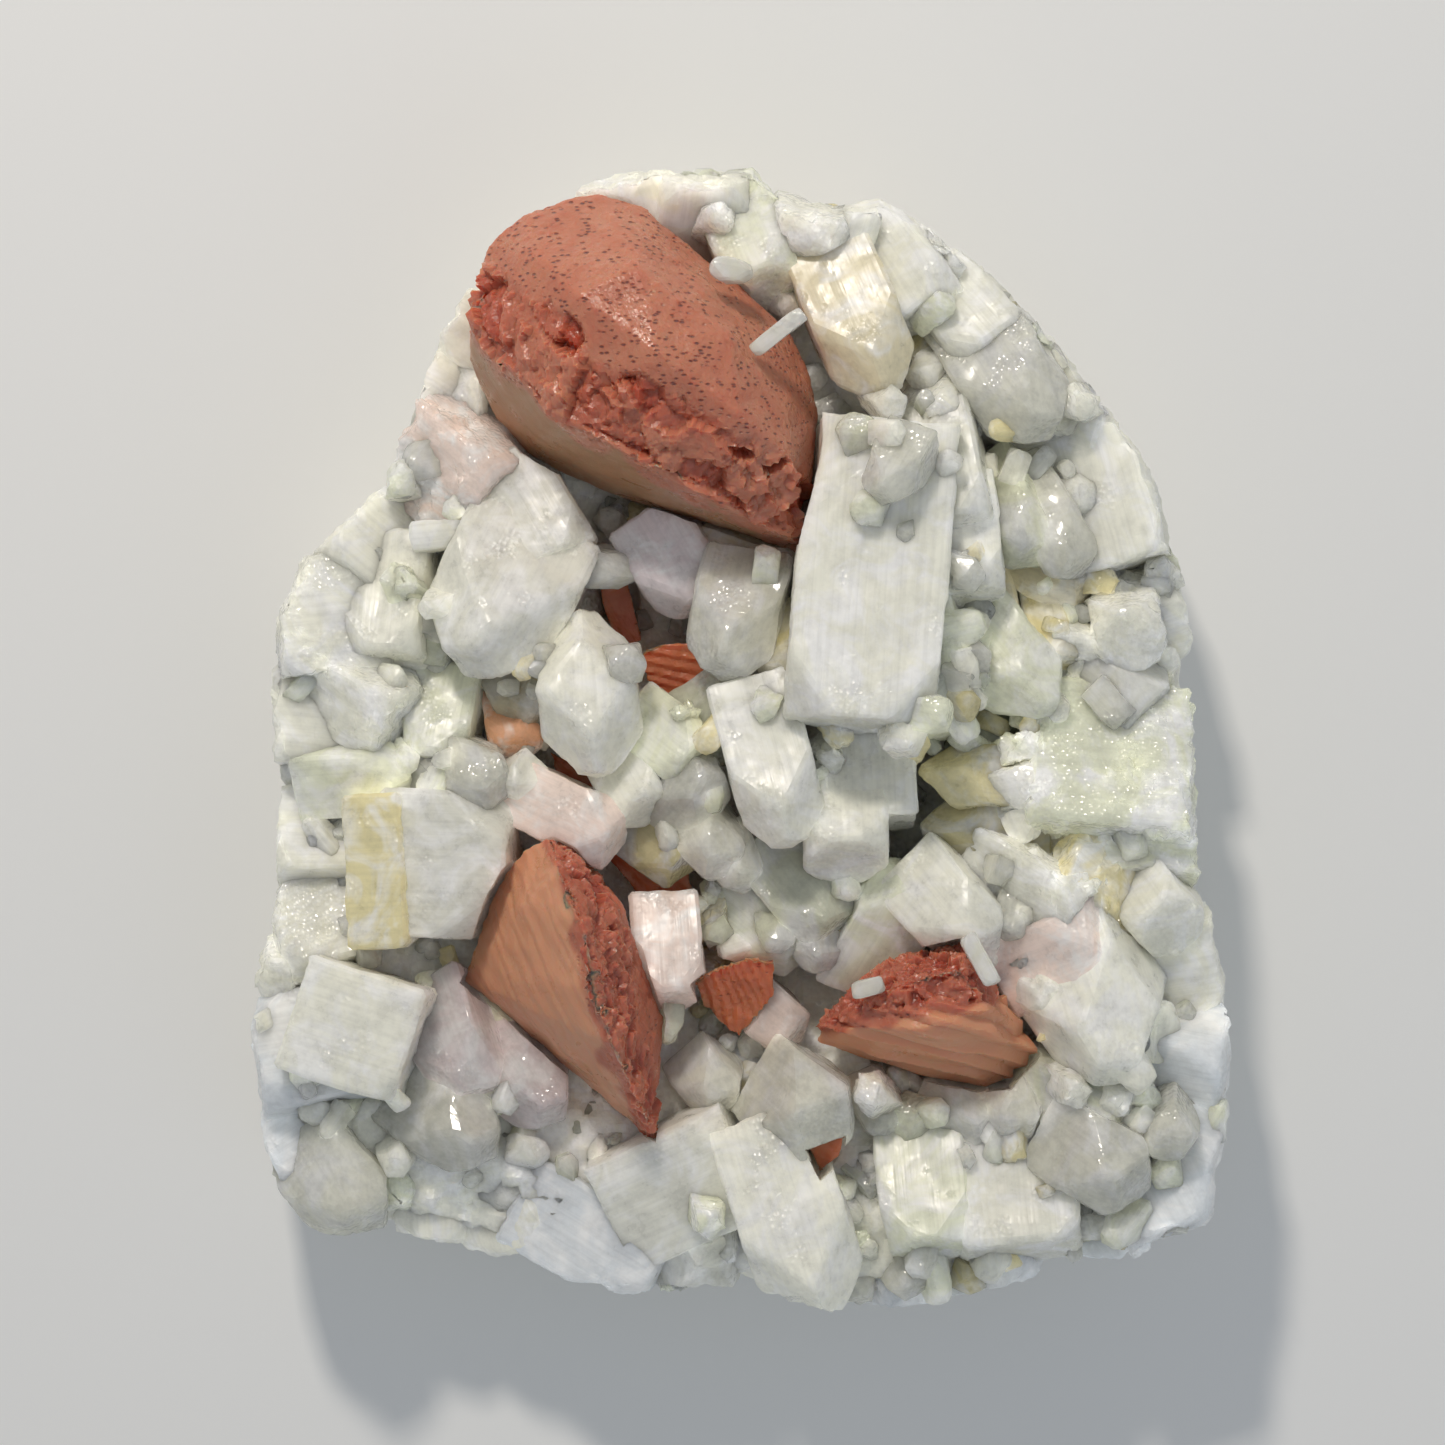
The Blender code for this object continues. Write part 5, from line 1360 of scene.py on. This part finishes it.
HEULANDITES = [
    Heulandite(
        "heulandite_large",
        "coral_heulandite",
        CORAL,
        [
            # The edge that shows from the front, clockwise from the left end.
            (-25.4, 50.3, 26.0), (-22.1, 53.0, 26.0), (-17.6, 55.0, 25.5), (-14.1, 55.5, 25.5),
            (-9.6, 54.0, 25.5), (-4.1, 49.5, 25.5), (0.4, 45.8, 25.5), (4.9, 41.8, 25.0),
            (7.1, 37.3, 25.0), (8.1, 33.1, 25.0), (7.7, 27.3, 24.0), (5.9, 19.6, 22.0),
            (3.1, 19.6, 21.0), (-0.8, 21.2, 20.0), (-4.6, 22.2, 19.0), (-9.7, 24.0, 18.0),
            (-14.8, 25.5, 18.0), (-18.6, 27.3, 18.0), (-22.2, 29.3, 18.0), (-25.0, 32.4, 18.5),
            (-26.3, 35.0, 19.5), (-27.8, 38.3, 21.0), (-27.5, 40.3, 23.0),
            # The upper edge of the smooth side face.
            (-27.5, 44.6, 27.0), (-26.8, 41.1, 29.0), (-25.0, 39.0, 31.0), (-21.7, 36.2, 33.0),
            (-18.9, 32.4, 34.5), (-14.8, 30.1, 35.5), (-9.7, 27.3, 35.5), (-4.6, 24.5, 34.5),
            (0.5, 21.9, 32.0), (5.3, 19.9, 28.0),
            # The dome of the pitted face.
            (-16.0, 44.0, 37.0), (-8.0, 38.0, 39.6), (0.0, 32.0, 38.6), (5.0, 28.0, 34.5),
            (-20.0, 48.0, 32.5), (-10.0, 47.0, 35.5), (-1.0, 40.0, 36.5), (5.0, 34.0, 32.0),
            # The root inside the mass.
            (-22.0, 44.0, 12.0), (-12.0, 49.0, 12.0), (3.0, 34.0, 12.0), (2.0, 25.0, 11.0),
            (-14.0, 30.0, 11.0),
        ],
        ridge=LARGE_RIDGE,
        band=(0.0, 7.6),
        blocks_mm=3.0,
        block_height=1.3,
        grain_bearing=-62.0,
        voxel_mm=0.38,
    ),
    Heulandite(
        "heulandite_wedge",
        "russet_heulandite",
        RUSSET,
        [
            (-23.9, -12.7, 22.0), (-21.6, -9.9, 24.5), (-19.3, -8.9, 26.0), (-16.6, -10.2, 26.5),
            (-13.6, -13.2, 26.0), (-11.3, -16.2, 25.0), (-10.3, -20.2, 24.5), (-9.3, -24.7, 23.5),
            (-7.6, -27.5, 21.5), (-7.7, -35.7, 20.5), (-8.5, -40.2, 20.0), (-10.1, -39.7, 19.5),
            (-14.1, -36.3, 18.5), (-18.6, -32.3, 18.0), (-22.1, -28.9, 17.5), (-25.6, -26.3, 17.0),
            (-28.4, -24.2, 17.0), (-26.6, -18.7, 19.0), (-25.3, -15.2, 21.0),
            (-18.1, -12.2, 32.0), (-15.6, -17.7, 35.5), (-14.1, -23.7, 36.0), (-12.6, -29.7, 34.5),
            (-10.1, -35.7, 30.0), (-9.1, -38.0, 26.5), (-22.0, -16.0, 27.5),
            (-22.0, -18.0, 11.0), (-15.0, -14.0, 11.0), (-12.0, -34.0, 11.0), (-22.0, -24.0, 11.0),
        ],
        ridge=[(x, y) for x, y in reversed(WEDGE_RIDGE)],
        band=(0.0, 4.6),
        blocks_mm=2.0,
        block_height=0.9,
        grain_bearing=-62.0,
        rib_mm=1.3,
        rib_height=0.14,
        voxel_mm=0.32,
    ),
    Heulandite(
        "heulandite_lower_right",
        "russet_heulandite",
        RUSSET,
        [
            (7.4, -28.2, 21.0), (10.9, -23.9, 22.5), (15.9, -20.7, 23.5), (22.4, -19.3, 24.0),
            (24.7, -21.9, 24.0), (26.2, -24.7, 23.0), (27.1, -26.9, 22.0), (30.4, -31.3, 20.5),
            (27.1, -34.7, 18.5), (23.9, -35.2, 18.0), (17.9, -34.2, 18.0), (11.9, -32.4, 18.0),
            (7.6, -30.7, 18.5),
            (11.9, -25.7, 27.5), (16.9, -23.2, 30.0), (21.9, -22.2, 30.0), (24.4, -25.7, 29.0),
            (10.9, -28.7, 26.0), (18.9, -28.2, 31.0), (25.9, -29.7, 26.5),
            (12.0, -27.0, 11.0), (22.0, -24.0, 11.0), (24.0, -31.0, 11.0), (14.0, -31.0, 11.0),
        ],
        ridge=LOWER_RIDGE,
        band=(0.0, 8.0),
        blocks_mm=1.3,
        block_height=0.6,
        grain_bearing=-16.0,
        rib_mm=1.9,
        rib_height=0.7,
        voxel_mm=0.28,
    ),
    Heulandite(
        "heulandite_fan",
        "orange_heulandite",
        SALMON,
        [
            (-5.1, -24.2, 20.0), (-4.1, -23.2, 21.0), (-2.1, -22.2, 22.0), (0.9, -21.2, 22.5),
            (3.7, -21.7, 22.0), (3.5, -25.7, 20.5), (0.9, -27.2, 19.5), (-0.1, -30.0, 18.0),
            (-2.1, -28.7, 18.0), (-4.1, -26.7, 18.5),
            (-2.0, -24.5, 12.0), (1.5, -24.5, 12.0), (-0.8, -28.0, 12.0),
        ],
        grain_bearing=-70.0,
        rib_mm=0.9,
        rib_height=0.25,
        voxel_mm=0.25,
        rounding=4,
    ),
    Heulandite(
        "heulandite_pocket_stack",
        "orange_heulandite",
        SALMON,
        [
            (-10.8, 8.9, 18.5), (-9.0, 10.1, 19.0), (-5.0, 10.5, 19.0), (-3.2, 7.8, 18.5),
            (-3.0, 4.2, 17.5), (-7.1, 3.9, 17.0), (-9.4, 5.6, 17.5),
            (-9.0, 8.0, 10.0), (-4.5, 8.5, 10.0), (-4.5, 5.0, 9.5), (-8.0, 5.0, 9.5),
        ],
        grain_bearing=-10.0,
        rib_mm=1.1,
        rib_height=0.25,
        voxel_mm=0.28,
        rounding=4,
        clearance=0.0,
    ),
    Heulandite(
        "heulandite_pocket_column",
        "orange_heulandite",
        SALMON,
        [
            (-15.2, 18.6, 16.5), (-12.4, 19.6, 16.5), (-11.0, 16.0, 16.0), (-9.6, 10.2, 15.5),
            (-12.6, 9.0, 15.0), (-14.2, 13.6, 16.0),
            (-13.6, 17.4, 8.5), (-11.6, 16.4, 8.5), (-11.0, 11.0, 8.5), (-12.6, 11.0, 8.5),
        ],
        grain_bearing=-60.0,
        voxel_mm=0.3,
        rounding=4,
        clearance=0.0,
    ),
    Heulandite(
        "heulandite_pocket_sheet",
        "orange_heulandite",
        SALMON,
        [
            (-19.9, -0.4, 15.5), (-14.8, -2.4, 16.0), (-11.4, -7.6, 16.5), (-5.4, -12.2, 17.0),
            (-4.2, -15.8, 16.5), (-10.2, -16.4, 16.0), (-13.4, -11.4, 16.5), (-18.6, -5.0, 15.0),
            (-17.0, -3.0, 9.0), (-13.0, -5.0, 9.0), (-7.0, -13.0, 9.5), (-9.0, -15.0, 9.5),
        ],
        grain_bearing=-45.0,
        rib_mm=1.2,
        rib_height=0.2,
        voxel_mm=0.3,
        rounding=4,
        clearance=0.0,
    ),
    Heulandite(
        "heulandite_chip",
        "orange_heulandite",
        SALMON,
        [
            (6.3, -40.6, 21.0), (10.6, -39.4, 21.5), (10.1, -41.8, 20.0), (7.9, -43.8, 19.5),
            (8.0, -40.8, 14.0), (9.4, -41.2, 14.0), (8.2, -42.4, 14.0),
        ],
        grain_bearing=-70.0,
        voxel_mm=0.25,
        rounding=3,
    ),
]


@dataclass
class Studio:
    """The pale floor, the soft lights and the camera, which looks straight down as the photograph does."""

    frame_width_mm: float = 144.5
    camera_height_mm: float = 525.0
    subject_height_mm: float = 25.0
    frame_middle_mm: tuple[float, float] = (-1.85, 2.1)
    floor_mm: float = 3000.0
    floor_colour: str = "#F1F1EF"

    def build(self) -> None:
        """Build the floor, the lights and the camera."""
        self.build_floor()
        self.build_lights()
        self.build_camera()

    def build_floor(self) -> None:
        """Lay a pale matt floor."""
        select_only([])
        bpy.ops.mesh.primitive_plane_add(size=self.floor_mm * MM)
        floor = bpy.context.object
        floor.name = "studio_floor"
        material = bpy.data.materials.new("matt_paper_floor")
        material.use_nodes = True
        shader = material.node_tree.nodes["Principled BSDF"]
        shader.inputs["Base Color"].default_value = srgb(self.floor_colour)
        shader.inputs["Roughness"].default_value = 0.9
        floor.data.materials.append(material)

    def build_lights(self) -> None:
        """Light the specimen from the top of the picture, with a broad soft fill."""
        world = bpy.data.worlds.new("soft_studio")
        world.use_nodes = True
        background = world.node_tree.nodes["Background"]
        background.inputs["Color"].default_value = srgb("#E8EDF4")
        background.inputs["Strength"].default_value = 0.42
        bpy.context.scene.world = world
        self.add_light("key_light", (-120, 420, 430), 60, 1.75, "#FFF6EA")
        self.add_light("fill_light", (300, -350, 420), 500, 0.3, "#DCE8F6")

    def add_light(
        self, name: str, place: tuple[float, float, float], width: float, power: float, colour: str
    ) -> None:
        """Add a square area light that faces the specimen.

        Args:
            name: The light's name.
            place: Its place in millimetres.
            width: Its side in millimetres.
            power: Its power in watts.
            colour: Its colour as an sRGB hex value.
        """
        data = bpy.data.lights.new(name, "AREA")
        data.size = width * MM
        data.energy = power
        data.color = srgb(colour)[:3]
        light = bpy.data.objects.new(name, data)
        light.location = Vector(place) * MM
        aim = Vector((0, 0, self.subject_height_mm)) * MM - light.location
        light.rotation_euler = aim.to_track_quat("-Z", "Y").to_euler()
        bpy.context.scene.collection.objects.link(light)

    def build_camera(self) -> None:
        """Hang the camera over the specimen so that its frame is the photograph's."""
        data = bpy.data.cameras.new("camera")
        distance = self.camera_height_mm - self.subject_height_mm
        data.lens = data.sensor_width * distance / self.frame_width_mm
        data.clip_start, data.clip_end = 0.01, 10.0
        camera = bpy.data.objects.new("camera", data)
        camera.location = Vector((*self.frame_middle_mm, self.camera_height_mm)) * MM
        bpy.context.scene.collection.objects.link(camera)
        bpy.context.scene.camera = camera


def main() -> None:
    """Build the specimen and its studio, and report each piece."""
    logging.basicConfig(level=logging.INFO, format="%(name)s: %(message)s")
    Studio().build()
    rooms = [crystal.room() for crystal in HEULANDITES]
    Apophyllite(Rim()).build(rooms)
    for room in rooms:
        bpy.data.objects.remove(room)
    for crystal in HEULANDITES:
        crystal.build()
    bpy.context.scene.view_settings.view_transform = "Standard"
    bpy.context.scene.cycles.max_bounces = 6
    bpy.context.scene.cycles.transmission_bounces = 4


if __name__ == "__main__":
    main()
